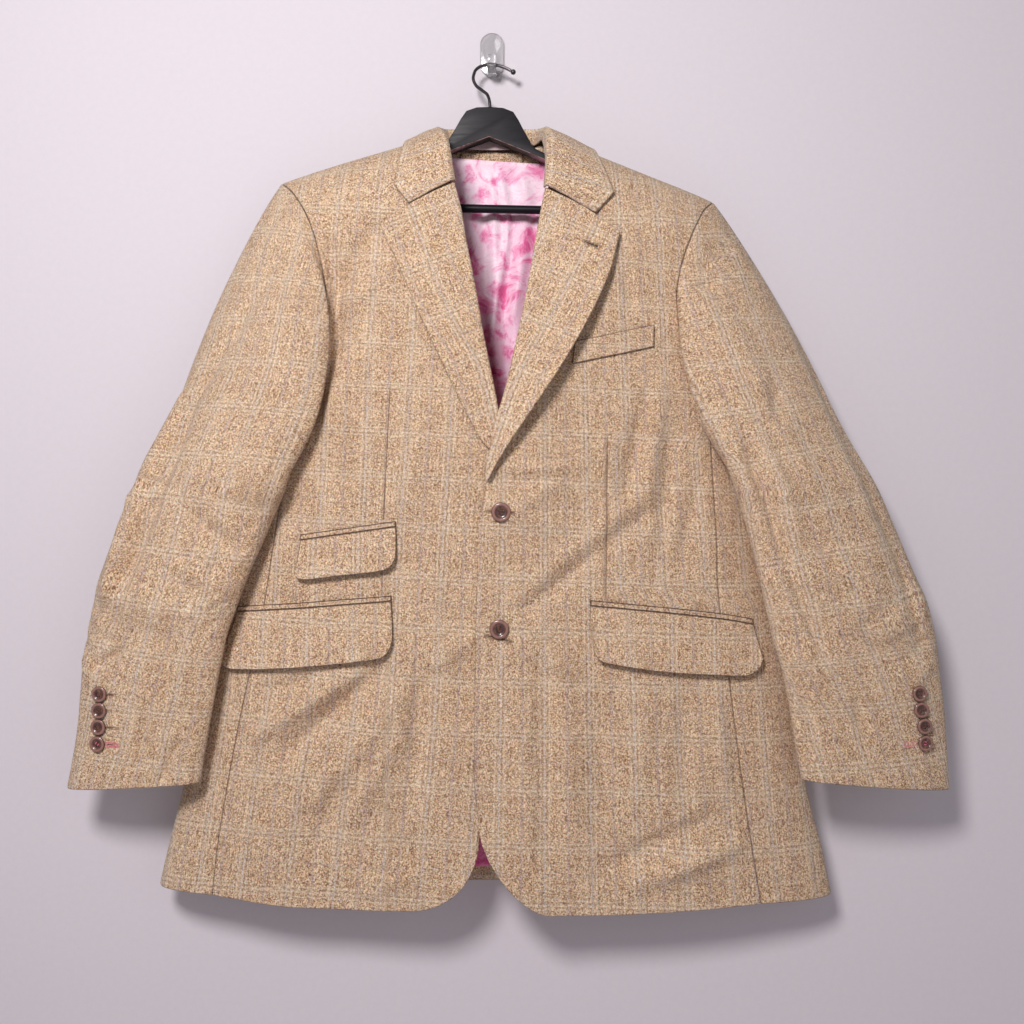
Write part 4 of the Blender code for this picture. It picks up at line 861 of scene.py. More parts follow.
# Finer folds of the fronts, made stronger by the relief.
frontDetail = rowsOf(Crease, (-169, -234, -160, -290, 11, -4.0), (-160, -290, -162, -340, 11, -4.5),
    (-162, -340, -188, -408, 11, -4.0), (22, -505, 70, -470, 8, 1.4), (20, -512, 85, -520, 9, 1.0),
    (-14, -508, -60, -480, 8, -1.0), (34, -606, 96, -552, 9, -3.0), (96, -552, 175, -496, 10, -2.4),
    (40, -590, 150, -494, 14, 2.2), (4, -470, 88, -472, 5, -1.4), (10, -462, 80, -458, 7, 1.0),
    (24, -634, 90, -668, 9, 1.6), (-16, -632, -60, -660, 9, 1.4), (-14, -620, -55, -598, 8, -1.1),
    (159, -391, 138, -490, 9, -3.0), (172, -380, 160, -480, 9, 2.2), (188, -420, 172, -560, 8, -1.8),
    (-162, -281, -113, -207, 10, -2.6), (-150, -300, -100, -250, 10, 1.4),
    (-172, -360, -150, -450, 11, 1.6), (-140, -420, -126, -520, 9, -1.4), (138, -262, 146, -300, 7, -1.6),
    (186, -330, 150, -300, 9, 1.2), (-166, -300, -140, -280, 9, 1.0), (214, -470, 196, -560, 9, -1.8),
    (-200, -470, -188, -540, 9, -1.4), (-70, -400, -84, -500, 10, 1.2), (-116, -671, -211, -753, 10, -4.4),
    (-146, -673, -241, -735, 9, 3.4), (-88, -690, -180, -800, 12, 2.4), (-186, -676, -236, -690, 7, -2.0),
    (-70, -673, -83, -808, 10, -2.6), (-89, -723, -143, -820, 10, 2.2), (-160, -790, -190, -870, 12, -2.4),
    (-200, -770, -226, -870, 11, 1.8), (-120, -820, -60, -880, 11, -1.6), (52, -640, 56, -870, 12, -2.2),
    (76, -660, 88, -870, 11, 1.8), (36, -700, 40, -850, 8, 1.0), (150, -888, 262, -846, 10, 3.0),
    (120, -872, 230, -818, 11, -2.8), (160, -690, 150, -800, 11, 1.6), (200, -690, 196, -810, 10, -1.8),
    (232, -690, 246, -800, 9, 1.8), (110, -700, 118, -820, 9, -1.2), (-60, -870, -130, -895, 10, 1.4))


def frontSoft(side, x, z):
    uneven = ripple(x, z, frontLook["seed"] + side, frontLook["unevenness"])
    return frontLook["relief"] * creaseHeight(frontDetail, x, z) + uneven


def frontRow(side, edge, xOut, row):
    # One row of a front, from its side seam to its edge.
    row = min(row, ridgeRow)
    xOut -= side * seamGap / 2
    xIn = edge(row) + side * underFold * ease((row - 0.47) / 0.06)
    at = stations(abs(xOut - xIn), abs(xOut - xIn) / frontLook["columns"])
    for t in np.interp(np.linspace(0, 1, frontLook["columns"]), np.linspace(0, 1, len(at)), at / at[-1]):
        x = between(xOut, xIn, t)
        z = rowHeight(side, x, row)
        point, normal = onFront(x, z, 0.0, side)
        below = ease((ridgeLine[side](abs(x)) - z) / shoulderRound)
        soft = frontSoft(side, x, z) * below * ease(t / 0.05)
        yield point + normal * (overlapLift(side, x, z) + soft), normal


def frontPiece(side, tweed):
    who = whose[side]
    edge = edgeLine(side)
    spots = sideRows(side, "front", frontLook["rows"], frontLook["turnStep"])
    points, ways = gridOf(frontRow(side, edge, *spot) for spot in spots)
    clothPiece("front_cloth_" + who, "front_" + who, points, ways, bodyCloth, bodyUv(side, points), tweed)


# Side panels
sideLook = {"columns": 22, "rows": 100, "turnStep": 2.0, "unevenness": 0.8, "seed": 17.0}


def sidePiece(side, tweed):
    who = whose[side]
    rows = sideLook["rows"]
    seams = [sideRows(side, which, rows, sideLook["turnStep"])[:rows + 1] for which in ("front", "back")]
    tops = [armholePlace(side, turn) for turn in np.linspace(frontSeamTurn, backSeamTurn, 25)]
    topLine = Line([(a - tops[0][0]) / (tops[-1][0] - tops[0][0]) for a, _ in tops], [z for _, z in tops])

    def panelRow(i, front, back):
        zf, zb = rowHeight(side, *front), rowHeight(side, *back, True)
        start, end = roundOf(front[0], side, zf), 1 - roundOf(back[0], side, zb)
        gap = seamGap / 2 / halfWidth[side](zf) * 1.1
        for t in evenly(sideLook["columns"]):
            scoop = topLine(t) - between(tops[0][1], tops[-1][1], t)
            z = between(zf, zb, t) + scoop * (i / rows) ** 3
            point, normal = onBody(side, between(start + gap, end - gap, t), z)
            soft = ripple(point.y, z, sideLook["seed"] + side, sideLook["unevenness"])
            soft *= ease(t / 0.15) * ease((1 - t) / 0.15)
            yield point + normal * soft, normal

    points, ways = gridOf(panelRow(i, *ends) for i, ends in enumerate(zip(*seams)))
    steps = np.linalg.norm(np.diff(points[..., :2], axis=1), axis=2)
    run = np.concatenate([np.zeros((len(points), 1)), np.cumsum(steps, axis=1)], axis=1)
    uv = np.empty(points.shape[:2] + (2,))
    curves = checkCurves(side)
    for i, row in enumerate(points):
        start = clothPlace(side, row[0][0], row[0][2], *curves)
        uv[i, :, 0] = start[0] + side * run[i] * mm
        uv[i, :, 1] = start[1] + (row[:, 2] - row[0][2]) * mm
    clothPiece("side_cloth_" + who, "side_panel_" + who, points, ways, sideCloth, uv, tweed)


# Backs
backLook = {"columns": 50, "rows": 110, "turnStep": 2.4, "unevenness": 1.1, "seed": 29.0}


def backRow(side, xOut, row):
    for t in evenly(backLook["columns"], 200.0):
        x = between(xOut - side * seamGap / 2, side * seamGap / 2, t)
        top = 2 - fallOf(side, abs(x), ridgeLine[side](abs(x)) - backNeck(abs(x)))
        own = row if row < 1 else 1 + (row - 1) * (min(top, ridgeRow) - 1)
        z = rowHeight(side, x, own, back=True)
        point, normal = onBody(side, 1 - roundOf(x, side, z), z)
        below = ease((ridgeLine[side](abs(x)) - z) / shoulderRound)
        soft = ripple(x, z, backLook["seed"] + side, backLook["unevenness"])
        soft *= ease(t / 0.06) * ease((1 - t) / 0.05)
        yield point + normal * soft * below, normal


def backPiece(side, tweed):
    who = whose[side]
    spots = sideRows(side, "back", backLook["rows"], backLook["turnStep"])
    points, ways = gridOf(backRow(side, *spot) for spot in spots)
    clothPiece("back_cloth_" + who, "back_" + who, points, ways, backCloth, bodyUv(side, points), tweed)


# Sleeves
sleeveLook = {"down": 4.0, "across": 3.6, "unevenness": 1.3, "relief": 2.7, "seed": 41}
sleeveDetail = {    # finer creases of the sleeves, by section and turn
    -1: rowsOf(Pleat, (3.3, 15, 3.9, 62, 0.10, 2.4), (3.9, 8, 4.6, 48, 0.09, -2.2),
        (4.5, 12, 5.1, 44, 0.09, 2.0), (2.6, 150, 3.4, 110, 0.11, 2.0), (3.2, 160, 4.2, 118, 0.11, -1.6),
        (1.2, 60, 2.8, 74, 0.16, 1.6), (-0.7, 60, 0.4, 96, 0.14, 1.8), (-0.6, 120, 0.6, 140, 0.14, 1.6),
        (0.2, 150, 1.6, 128, 0.12, -1.6), (5.2, 100, 6.8, 90, 0.16, 1.2), (2.2, 240, 3.2, 300, 0.14, 2.2),
        (3.4, 230, 4.4, 290, 0.14, 2.0)),
    1: rowsOf(Pleat, (3.1, 30, 3.9, 84, 0.10, 2.4), (3.7, 22, 4.5, 70, 0.09, -2.2),
        (4.4, 34, 5.0, 60, 0.09, 1.8), (2.2, 150, 3.0, 112, 0.11, 2.0), (3.0, 160, 4.0, 120, 0.11, -1.6),
        (1.0, 60, 2.6, 78, 0.16, 1.6), (-0.75, 70, 0.2, 100, 0.13, 2.2), (-0.6, 110, 0.5, 134, 0.13, -1.8),
        (-0.2, 150, 1.2, 128, 0.12, 1.8), (5.2, 100, 6.8, 86, 0.16, 1.2), (2.2, 240, 3.2, 300, 0.14, 2.2),
        (3.4, 230, 4.4, 290, 0.14, 2.0)),
}
sleeveFolds = {    # folds on the front of each sleeve, by x and z
    -1: rowsOf(Crease, (-232, -268, -273, -334, 8, -1.8), (-273, -334, -312, -395, 8, -2.4),
        (-312, -395, -348, -497, 9, -4.4), (-348, -497, -379, -583, 9, -4.8),
        (-329, -385, -369, -492, 9, 3.4), (-369, -492, -394, -590, 9, 3.4),
        (-405, -663, -377, -644, 4, -3.2), (-308, -504, -255, -543, 9, -2.2),
        (-326, -549, -277, -583, 9, 1.8), (-295, -583, -270, -553, 8, -1.6),
        (-321, -606, -331, -690, 5, -1.8), (-346, -695, -359, -764, 5, -2),
        (-316, -736, -336, -781, 4, -2.4), (-304, -634, -313, -700, 5, 1.4),
        (-377, -594, -393, -634, 5, -2.2), (-194, -227, -209, -319, 8, 1.4),
        (-245, -319, -270, -400, 10, -1.4)),
    1: rowsOf(Crease, (203, -230, 251, -230, 4, -3.4), (203, -249, 233, -248, 4, -3),
        (203, -273, 234, -271, 4, -2.6), (210, -204, 230, -215, 5, -2.2), (260, -439, 274, -482, 6, -4.2),
        (274, -482, 298, -553, 6, -3.8), (298, -553, 337, -649, 6, -3.2), (278, -431, 311, -532, 7, 1.8),
        (289, -375, 294, -415, 8, -1.8), (371, -695, 382, -733, 6, -2.4), (315, -685, 330, -761, 5, -1.6),
        (378, -616, 422, -594, 9, -1.6), (352, -553, 396, -579, 9, 1.6), (330, -319, 378, -446, 8, -1.6),
        (378, -446, 422, -553, 8, -1.8), (422, -553, 442, -634, 7, -1.8)),
}
armholeSwell = {-1: (7.0, 11.0), 1: (2.5, 5.0)}    # swell of a sleeve over its seam, inwards and forwards


def sleeveGrid(side):
    # Rings from the armhole to the cuff over all turns, with the way out.
    turns = topTurns + underTurns[1:-1]
    rings = []
    for t in headRings:
        ring = []
        for turn in turns:
            around, z = armholePlace(side, turn)
            end = ringPoint(side, 0.0, turn)
            place = bodyPoint(side, around, z).lerp(end, t)
            out = (end - ringPoint(side, 0.0, turn + 180)).normalized()
            out.z = max(out.z, 0.0)
            place += out * headFullness * math.sin(math.pi * min(t * 1.35, 1.0)) ** 0.8
            if t and 175 < turn < 300:
                place = clearOfBody(side, place, min(2.0 + 16.0 * t, sleeveClear), around)
            ring.append(place)
        rings.append(ring)
    for number in armRings:
        ring = []
        for turn in turns:
            place = ringPoint(side, number, turn)
            centre = ringPoint(side, number, 90).lerp(ringPoint(side, number, 270), 0.5)
            out = (place - centre).normalized()
            place += out * pleatHeight(sleeveCreases[side], number, turn) * ease(number / 0.5)
            if 165 < turn < 330:
                place = clearOfBody(side, place, sleeveClear, armholePlace(side, turn)[0])
            ring.append(place)
        rings.append(ring)
    rings = np.array(rings)
    round3 = np.concatenate([rings[:, -1:], rings, rings[:, :1]], axis=1)
    ways = gridWays(round3, -side)[:, 1:-1]
    for j, turn in enumerate(turns):
        around, z = armholePlace(side, turn)
        ways[0, j] = rimWay(bodyNormal(side, around, z), turn)
        away = rings[1, j] - rings[0, j]
        rings[0, j] += away / np.linalg.norm(away) * sleeveGap
    return turns, rings, ways


def sleeveSoft(side, number, turn, place, facing):
    # The sleeve's own folds and unevenness at a ring and turn; facing is how far it looks forward.
    # The armhole is sewn with a slight pucker in front, and the under side stays off the body.
    soft = pleatHeight(sleeveDetail[side], number, turn % 360)
    soft += ripple(turn * 1.6, number * 60, sleeveLook["seed"] + side, sleeveLook["unevenness"])
    folds = creaseHeight(sleeveFolds[side], place[0], place[2])
    soft += sleeveLook["relief"] * folds * ease((facing - 0.1) / 0.5)
    if turn < 150 and number < 0.2:
        pucker = math.exp(-((number + 0.93) / 0.16) ** 2)
        soft += 0.7 * pucker * math.sin(turn * 0.55) + 0.5 * pucker * math.sin(turn * 0.93 + 1)
    if 165 < turn < 330:
        soft = max(soft, 0.0) * 0.8
    return soft * ease((number + 1) / 0.12)


def sleevePieces(side, tweed):
    who = whose[side]
    turns, rings, ways = sleeveGrid(side)
    points, outs = (np.concatenate([grid[:, -3:], grid, grid[:, :3]], axis=1) for grid in (rings, ways))
    around = [t - 360 for t in turns[-3:]] + list(turns) + [t + 360 for t in turns[:3]]
    rowPlaces, columnPlaces = chords(points, 0), chords(points, 1)
    rowsAt = stations(rowPlaces[-1], sleeveLook["down"])
    ringAt = curved([t - 1 for t in headRings] + list(armRings), rowPlaces, rowsAt)
    seam = 3 + len(topTurns) - 1
    upper, elbow = (np.mean(rings[len(headRings) + k], axis=0) for k in (0, 4))
    lead = (elbow - upper) / np.linalg.norm(elbow - upper)
    inward = np.array([-side * armholeSwell[side][0], -armholeSwell[side][1], 0])
    for kind, first, last in (("top_sleeve", 3, seam), ("under_sleeve", seam, 3 + len(turns))):
        at = stations(columnPlaces[last] - columnPlaces[first], sleeveLook["across"]) + columnPlaces[first]
        tall = [curved(values, rowPlaces, rowsAt).swapaxes(0, 1) for values in (points, outs)]
        mesh, out = (curved(values, columnPlaces, at).swapaxes(0, 1) for values in tall)
        out = unit(out)
        turnAt = curved(around, columnPlaces, at)
        for i, number in enumerate(ringAt):
            for j, turn in enumerate(turnAt):
                mesh[i, j] += out[i, j] * sleeveSoft(side, number, turn, mesh[i, j], -out[i, j, 1])
                swell = ease((number + 1) / 0.06) * (1 - ease((number + 0.6) / 0.9))
                swell *= ease((turn - 50) / 40) * (1 - ease((turn - 168) / 25))
                mesh[i, j] += inward * swell
        ends = [mesh[:, k] + unit(mesh[:, near] - mesh[:, k]) * seamGap / 2 for k, near in ((0, 1), (-1, -2))]
        mesh[:, 0], mesh[:, -1] = ends
        clothPiece(kind + "_cloth_" + who, kind + "_" + who, mesh, out, sleeveCloth,
                   sleeveUv(side, mesh, ringAt, lead), tweed)


# Check lines of the sleeves: how far down the arm, place of one line, its repeat, and the
# slope of the cross lines.
SleeveLine = namedtuple("SleeveLine", "down home repeat slope")
sleeveLines = {
    -1: rowsOf(SleeveLine, (162, -426, 42, 0.10), (235, -410, 42, 0.17), (325, -382, 42.5, 0.31),
        (428, -367, 44, 0.29), (500, -350, 46, 0.29), (575, -338, 46, 0.18), (684, -346, 45.5, 0.05),
        (771, -354, 45, 0.08)),
    1: rowsOf(SleeveLine, (184, 414, 44, -0.12), (240, 397, 43.5, -0.18), (314, 379, 42.5, -0.26),
        (374, 367, 43, -0.17), (430, 350, 44.5, -0.10), (475, 341, 46.5, -0.18), (545, 337, 48, -0.16),
        (600, 335, 48, -0.14), (650, 344, 47, -0.12), (711, 358, 45, -0.05), (770, 371, 43, -0.06)),
}
sleeveCross = {
    -1: (-8, 41, 90, 139, 186.8, 235.6, 275, 320, 368.8, 421.4, 469.6, 524.3, 585.2, 640.7, 699.7, 753.8,
         808, 862),
    1: (-16, 31, 78, 125, 172, 219.2, 263.5, 310.4, 362.8, 416, 467.4, 519.9, 576.2, 632.8, 686.7, 747.8,
        805, 862),
}


def sleeveUv(side, mesh, ringAt, lead):
    # Along the arm from the first full ring, and round it from the middle of the piece.
    rows, columns = mesh.shape[:2]
    middle = columns // 2
    uv = np.empty((rows, columns, 2))
    centre = mesh.mean(axis=1)
    ways = np.gradient(centre, axis=0)
    first = int(np.argmax(ringAt >= 0))
    ways[:first + 1] = lead
    ways = unit(ways)
    length = np.zeros(rows)
    for i in range(first + 1, rows):
        length[i] = length[i - 1] + np.linalg.norm(centre[i] - centre[i - 1])
    for i in range(rows):
        home = centre[first] if i <= first else centre[i]
        along = (mesh[i] - home) @ ways[i]
        uv[i, :, 1] = -(length[i] + along)
        step = np.diff(mesh[i], axis=0)
        across = step - np.outer(step @ ways[i], ways[i])
        run = np.concatenate([[0], np.cumsum(np.linalg.norm(across, axis=1))])
        uv[i, :, 0] = -side * (run - run[middle])
    lines = {key: column(sleeveLines[side], "down", key) for key in ("home", "repeat", "slope")}
    cross = Line(sleeveCross[side], range(len(sleeveCross[side])))
    for i in range(rows):
        for j in range(columns):
            out, down = uv[i, j, 0] + side * 380, 460 - uv[i, j, 1]
            off = out - lines["home"](down)
            uv[i, j] = (off / lines["repeat"](down) * checkAcross,
                        -cross(down + lines["slope"](down) * off) * checkDown)
    return uv


# Collar and lapels
collarLook = {"perGap": 6, "across": 3.0, "unevenness": 0.35, "seed": 53.0}


def collarPiece(tweed):
    right = [collarSection(-1, fold) for fold in collarFolds[-1]]
    left = [collarSection(1, fold) for fold in collarFolds[1]]
    rows = np.array([[list(p) for p in row] for row in spread(right + left[::-1], collarLook["perGap"])])
    points, _ = refine(rows, gridWays(rows, -1), collarLook["across"])
    outs = gridWays(points, -1)
    count, columns = points.shape[:2]
    along, across = chords(points, 0), chords(points, 1)
    for i in range(count):
        for j in range(columns):
            x, y, z = points[i, j]
            inward = ease(min(i, count - 1 - i) / 4) * ease((columns - 1 - j) / 4) * ease((j - 6) / 6)
            soft = ripple(x + y, z * 2, collarLook["seed"], collarLook["unevenness"], 30.0)
            points[i, j] += outs[i, j] * soft * inward
    uv = np.empty(points.shape[:2] + (2,))
    uv[..., 0] = (along[:, None] - along[-1] / 2 + 9) * mm
    uv[..., 1] = (-across[None, :] + 12) * mm
    clothPiece("collar_cloth", "collar", points, outs, collarCloth, uv, tweed)
    return rows


# turned: the check's turn on each lapel in degrees; bow: the outer edge's curve in millimetres.
lapelLook = {"rows": 84, "columns": 26, "unevenness": 0.5, "seed": 61.0, "turned": {-1: 21.5, 1: -24.0},
             "bow": {-1: 2.4, 1: 4.0}}
lapelLines = {    # a lengthwise check line of each lapel
    -1: Line((-192.7, -295.9, -359.5, -407.9), (-82.3, -43.6, -10.6, 2.2)),
    1: Line((-178.9, -283.2, -374.8, -430), (121, 73.4, 25.0, 6)),
}


def lapelOffsets(width, stand):
    # Steps across a lapel, as part of its width, and the lift of each: round the fold, then out.
    base = lapelLift + lapelCloth
    found = [(d / max(width, 8.0), lift) for d, lift in
             ((-2.6, -1.2), (-2.75, 0.4), (-2.2, base - 1.0), (-1.0, base + 0.1), (0.6, base + 0.6))]
    bend = len(found)
    for t in evenly(lapelLook["columns"])[2:]:
        t = max(t, 3.2 / max(width, 8.0)) if t < 0.5 else t
        lift = base + 0.6 * (1 - t) + stand * t ** 1.5
        found.append((max(t, found[bend - 1][0] + (len(found) - bend + 1) * 0.004), lift))
    return found


def lapelPiece(side, tweed):
    # The turned-back front: it wraps the fold line and lies on the front to its edge.
    who = whose[side]
    lines = lapelSides[side]
    count = len(lapelEdges[side]) - 1
    points, flat = [], []
    for at in evenly(lapelLook["rows"], 700.0) * count:
        value = {key: line(at) for key, line in lines.items()}
        width = math.hypot(value["edgeX"] - value["foldX"], value["edgeZ"] - value["foldZ"])
        line, place = [], []
        for t, lift in lapelOffsets(width, value["stand"]):
            x = between(value["foldX"], value["edgeX"], t)
            z = between(value["foldZ"], value["edgeZ"], t)
            z += lapelLook["bow"][side] * math.sin(math.pi * min(max(t, 0.0), 1.0)) * ease(1 - at / 0.6)
            point, normal = onFront(x, z, 0.0, side)
            inward = ease(t / 0.3) * ease((1 - t) / 0.12) * ease(at / 0.4)
            soft = ripple(x, z, lapelLook["seed"] + side, lapelLook["unevenness"], 50.0) * inward
            line.append(point + normal * (overlapLift(side, x, z) + lift + soft))
            place.append((x, z))
        points.append(line)
        flat.append(place)
    points, flat = np.array(points), np.array(flat)
    turn = math.radians(lapelLook["turned"][side])
    uv = np.empty(flat.shape)
    uv[..., 0] = (flat[..., 0] - np.vectorize(lapelLines[side])(flat[..., 1])) * math.cos(turn) * mm
    uv[..., 1] = (-flat[..., 0] * math.sin(turn) + flat[..., 1] * math.cos(turn)) * mm
    clothPiece("lapel_cloth_" + who, "lapel_" + who, points, gridWays(points, side), lapelWall, uv, tweed)


# Pockets
pocketLook = {"across": 4.0, "down": 3.4, "unevenness": 0.35, "seed": 77.0,
              "cornerRound": {"hip_right": 14.0, "hip_left": 13.0, "ticket": 10.0}}
# First lengthwise line of each flap and the lines' distance.
flapLines = {"flap_ticket": (-134.7, 47.0), "flap_hip_right": (-140.8, 47.1), "flap_hip_left": (141.9, 44.0)}
flapCreases = rowsOf(Crease, (-250, -620, -262, -660, 12, 1.2), (-180, -615, -186, -655, 14, 0.8),
    (150, -615, 152, -655, 14, 0.9), (235, -625, 246, -668, 13, 1.2))


def patchPiece(name, table, lift, lowLift, thickness, tweed, soft=0.0, rounded=0.0):
    # A flap, welt or jet that follows the front between its top and bottom line.
    side = -1 if table[0].topX < 0 else 1
    fields = tableLines(table)
    last = len(table) - 1
    ends = [Vector((row.topX, row.topZ)) for row in table]
    length = sum((b - a).length for a, b in zip(ends, ends[1:]))
    height = abs(table[0].topZ - table[0].lowZ)

    def patchRow(t):
        for at in stations(length, pocketLook["across"]) / length * last:
            top = Vector((fields["topX"](at), fields["topZ"](at)))
            low = Vector((fields["lowX"](at), fields["lowZ"](at)))
            if rounded:
                near = max(1 - min(at, last - at) / last * length / rounded, 0.0)
                low = low.lerp(top, rounded / height * (1 - math.sqrt(max(1 - near * near, 0.0))) * 0.8)
            x, z = top.lerp(low, t)
            point, normal = onFront(x, z, 0.0, side)
            rise = between(lift, lowLift, t ** 1.4) + overlapLift(side, x, z)
            rise += (creaseHeight(flapCreases, x, z) + ripple(x, z, pocketLook["seed"], soft, 34.0)) * ease(t)
            yield point + normal * (rise + frontRise(side, x, z) + thickness), normal

    down = stations(max(height, 4.0), pocketLook["down"]) / max(height, 4.0)
    points, ways = gridOf(patchRow(t) for t in down)
    uv = bodyUv(side, points)
    if name in flapLines:
        first, apart = flapLines[name]
        uv[..., 0] = (points[..., 0] - first) / apart * checkAcross
    clothPiece(name + "_cloth", name, points, ways, thickness, uv, tweed)


def frontRise(side, x, z):
    # What the front's own soft relief adds under a piece that lies on it.
    return max(frontSoft(side, x, z), -0.6)


def pocketPieces(flap, jet):
    for name, table in (("hip_right", rightHipTable), ("hip_left", leftHipTable), ("ticket", ticketTable)):
        patchPiece("flap_" + name, table, flapLift, flapLiftLow, flapCloth, flap, pocketLook["unevenness"],
                   pocketLook["cornerRound"][name])
        patchPiece("jet_" + name, jetOver(table), jetLift, jetLift, jetCloth, jet)
    patchPiece("welt_chest", weltTable, weltLift, weltLift, weltCloth, flap)


# Inside of the back
liningLook = {"columns": 90, "rows": 170, "seed": 91.0, "unevenness": 0.6}
# Finer folds of the lining, as far as the neck shows it.
liningDetail = rowsOf(Crease, (17, -178, 17, -213, 5, 5.0), (17, -213, 9, -258, 5, 5.4),
    (9, -258, 0, -302, 5, 5.0), (0, -302, -9, -356, 5, 4.4), (24, -178, 23, -213, 3.4, -4.0),
    (23, -213, 16, -258, 3.4, -4.0), (16, -258, 7, -302, 3.4, -4.0), (7, -302, -1, -356, 3.4, -3.6),
    (38, -180, 38, -213, 5, 3.6), (38, -213, 31, -258, 5, 4.0), (31, -258, 19, -302, 5, 3.4),
    (55, -176, 53, -240, 5, 3.0), (-5, -134, 2, -160, 5, 3.0), (9, -136, 17, -172, 4.0, 4.6),
    (20, -138, 27, -172, 3.4, -3.0), (31, -134, 42, -168, 4.4, 3.4), (-26, -150, -36, -190, 6, 2.6),
    (-12, -196, -26, -250, 7, 2.6), (-30, -240, -22, -310, 6, 2.4))


def insideBack(name, half, top, bottom, behind, thickness, columns, rows, look, folded=False):
    # A sheet that hangs behind the back's cloth, between two heights, half to each side.
    def insideRow(i):
        for j in range(columns + 1):
            x = between(-half, half, j / columns)
            side = -1 if x < 0 else 1
            z = between(top(x), bottom, i / rows)
            around = 1 - roundOf(x, side, z)
            normal = bodyNormal(side, around, z)
            height = behind
            if folded:
                height += max(creaseHeight(liningCreases, x, z) + 2.0, 0.0) * ease((-122 - z) / 70)
                fine = creaseHeight(liningDetail, x, z)
                fine += ripple(x, z, liningLook["seed"], liningLook["unevenness"], 26.0)
                height += max(fine, -0.8) * ease((-122 - z) / 22)
            relief = creaseHeight(backCreases, x, z) * ease((ridgeLine[side](abs(x)) - z) / shoulderRound)
            relief *= ease(abs(around - 0.5) / 0.12)
            yield bodyPoint(side, around, z) + normal * (relief - height), -normal

    points, ways = gridOf(insideRow(i) for i in range(rows + 1))
    outs = gridWays(points, -1)
    if np.dot(outs[rows // 2, columns // 2], ways[rows // 2, columns // 2]) < 0:
        outs = -outs
    down = np.arange(rows + 1)[:, None] / rows
    across = between(-half, half, np.arange(columns + 1) / columns)
    high = np.array([top(x) for x in across])
    uv = np.stack([across + 0 * down, between(high, bottom, down)], axis=-1) * mm
    clothPiece(name + "_cloth", name, points, outs, thickness, uv, look)


def insidePieces(tweed, lining):
    insideBack("lining_back", 140, liningTop, -889, backCloth + 4.6, liningCloth, liningLook["columns"],
               liningLook["rows"], lining, True)
    insideBack("hem_facing_back", 200, lambda x: -868, -904.5, backCloth + 2.6, 1.5, 60, 9, tweed)
    insideBack("neck_facing", 34, lambda x: -113.5, -124, backCloth + 2.8, 1.3, 24, 6, tweed)


def neckBandPiece(collarRows, band):
    # The strip sewn over the collar's stand, on its neck side.
    grid, ways = [], []
    for row, way in zip(collarRows, gridWays(collarRows, -1)):
        if -34 < row[0][0] < 27:
            normal = unit(way[0] + way[1])
            inside = normal * (collarCloth + 1.2)
            grid.append([between(row[0], row[1], t) - inside for t in (-0.22, 0.1, 0.4, 0.7, 0.95)])
            ways.append([-normal] * 5)
    points, outs = refine(np.array(grid), np.array(ways), 2.5, 2.5)
    uv = points[..., [0, 2]] * mm
    clothPiece("neck_band_cloth", "neck_band", points, outs, bandCloth, uv, band)


# Buttons
buttonLook = {"front": 20.0, "cuff": 16.4, "steps": 56, "hole": 1.05, "spread": 1.75, "tall": 0.32}
# Profile of a button from its middle over the rim to its back: part of the radius and of the height.
buttonProfile = ((0.2, 0.50), (0.38, 0.52), (0.5, 0.57), (0.58, 0.72), (0.64, 0.90), (0.72, 0.99),
                 (0.82, 1.0), (0.91, 0.93), (0.98, 0.74), (1.0, 0.52), (0.98, 0.25), (0.92, 0.04), (0.86, 0.0))


def circle(steps):
    return [2 * math.pi * k / steps for k in range(steps)]


def turnedButton(diameter, look):
    # Turned blank with a raised rim and four drilled holes.
    r = diameter / 2
    tall = buttonLook["tall"] * r
    build = bmesh.new()
    steps = buttonLook["steps"]
    rings = []
    for out, up in buttonProfile:
        rings.append([build.verts.new((r * out * math.cos(a), r * out * math.sin(a), tall * up))
                      for a in circle(steps)])
    for one, two in zip(rings, rings[1:]):
        for k in range(steps):
            build.faces.new((one[k], two[k], two[(k + 1) % steps], one[(k + 1) % steps]))
    build.faces.new(rings[0])
    build.faces.new(rings[-1][::-1])
    bmesh.ops.recalc_face_normals(build, faces=build.faces)
    blank = placed("button_blank", meshOf(build, "button_blank"))
    drill = bmesh.new()
    grow = diameter / buttonLook["front"]
    off = buttonLook["spread"] * grow
    radius = buttonLook["hole"] * grow
    for sx in (-1, 1):
        for sy in (-1, 1):
            place = Matrix.Translation((sx * off, sy * off, 0))
            bmesh.ops.create_cone(drill, cap_ends=True, segments=18, radius1=radius, radius2=radius, depth=30,
                                  matrix=place)
    drillObject = placed("drill", meshOf(drill, "drill"))
    cut = blank.modifiers.new("holes", "BOOLEAN")
    cut.object = drillObject
    cut.operation = "DIFFERENCE"
    cut.solver = "EXACT"
    bpy.context.view_layer.update()
    made = bpy.data.meshes.new_from_object(blank.evaluated_get(bpy.context.evaluated_depsgraph_get()))
    for used in (blank, drillObject):
        bpy.data.objects.remove(used)
    made.materials.clear()
    made.materials.append(look)
    made.shade_smooth()
    made.set_sharp_from_angle(angle=math.radians(38))
    wear = []
    for vert in made.vertices:
        out = math.hypot(vert.co.x, vert.co.y) / r
        wear.append(ease((out - 0.6) / 0.12) * (1 - ease((out - 0.9) / 0.08)) * (vert.co.z > 0.15 * r))
    made.attributes.new("rimWear", "FLOAT", "POINT").data.foreach_set("value", wear)
    return made


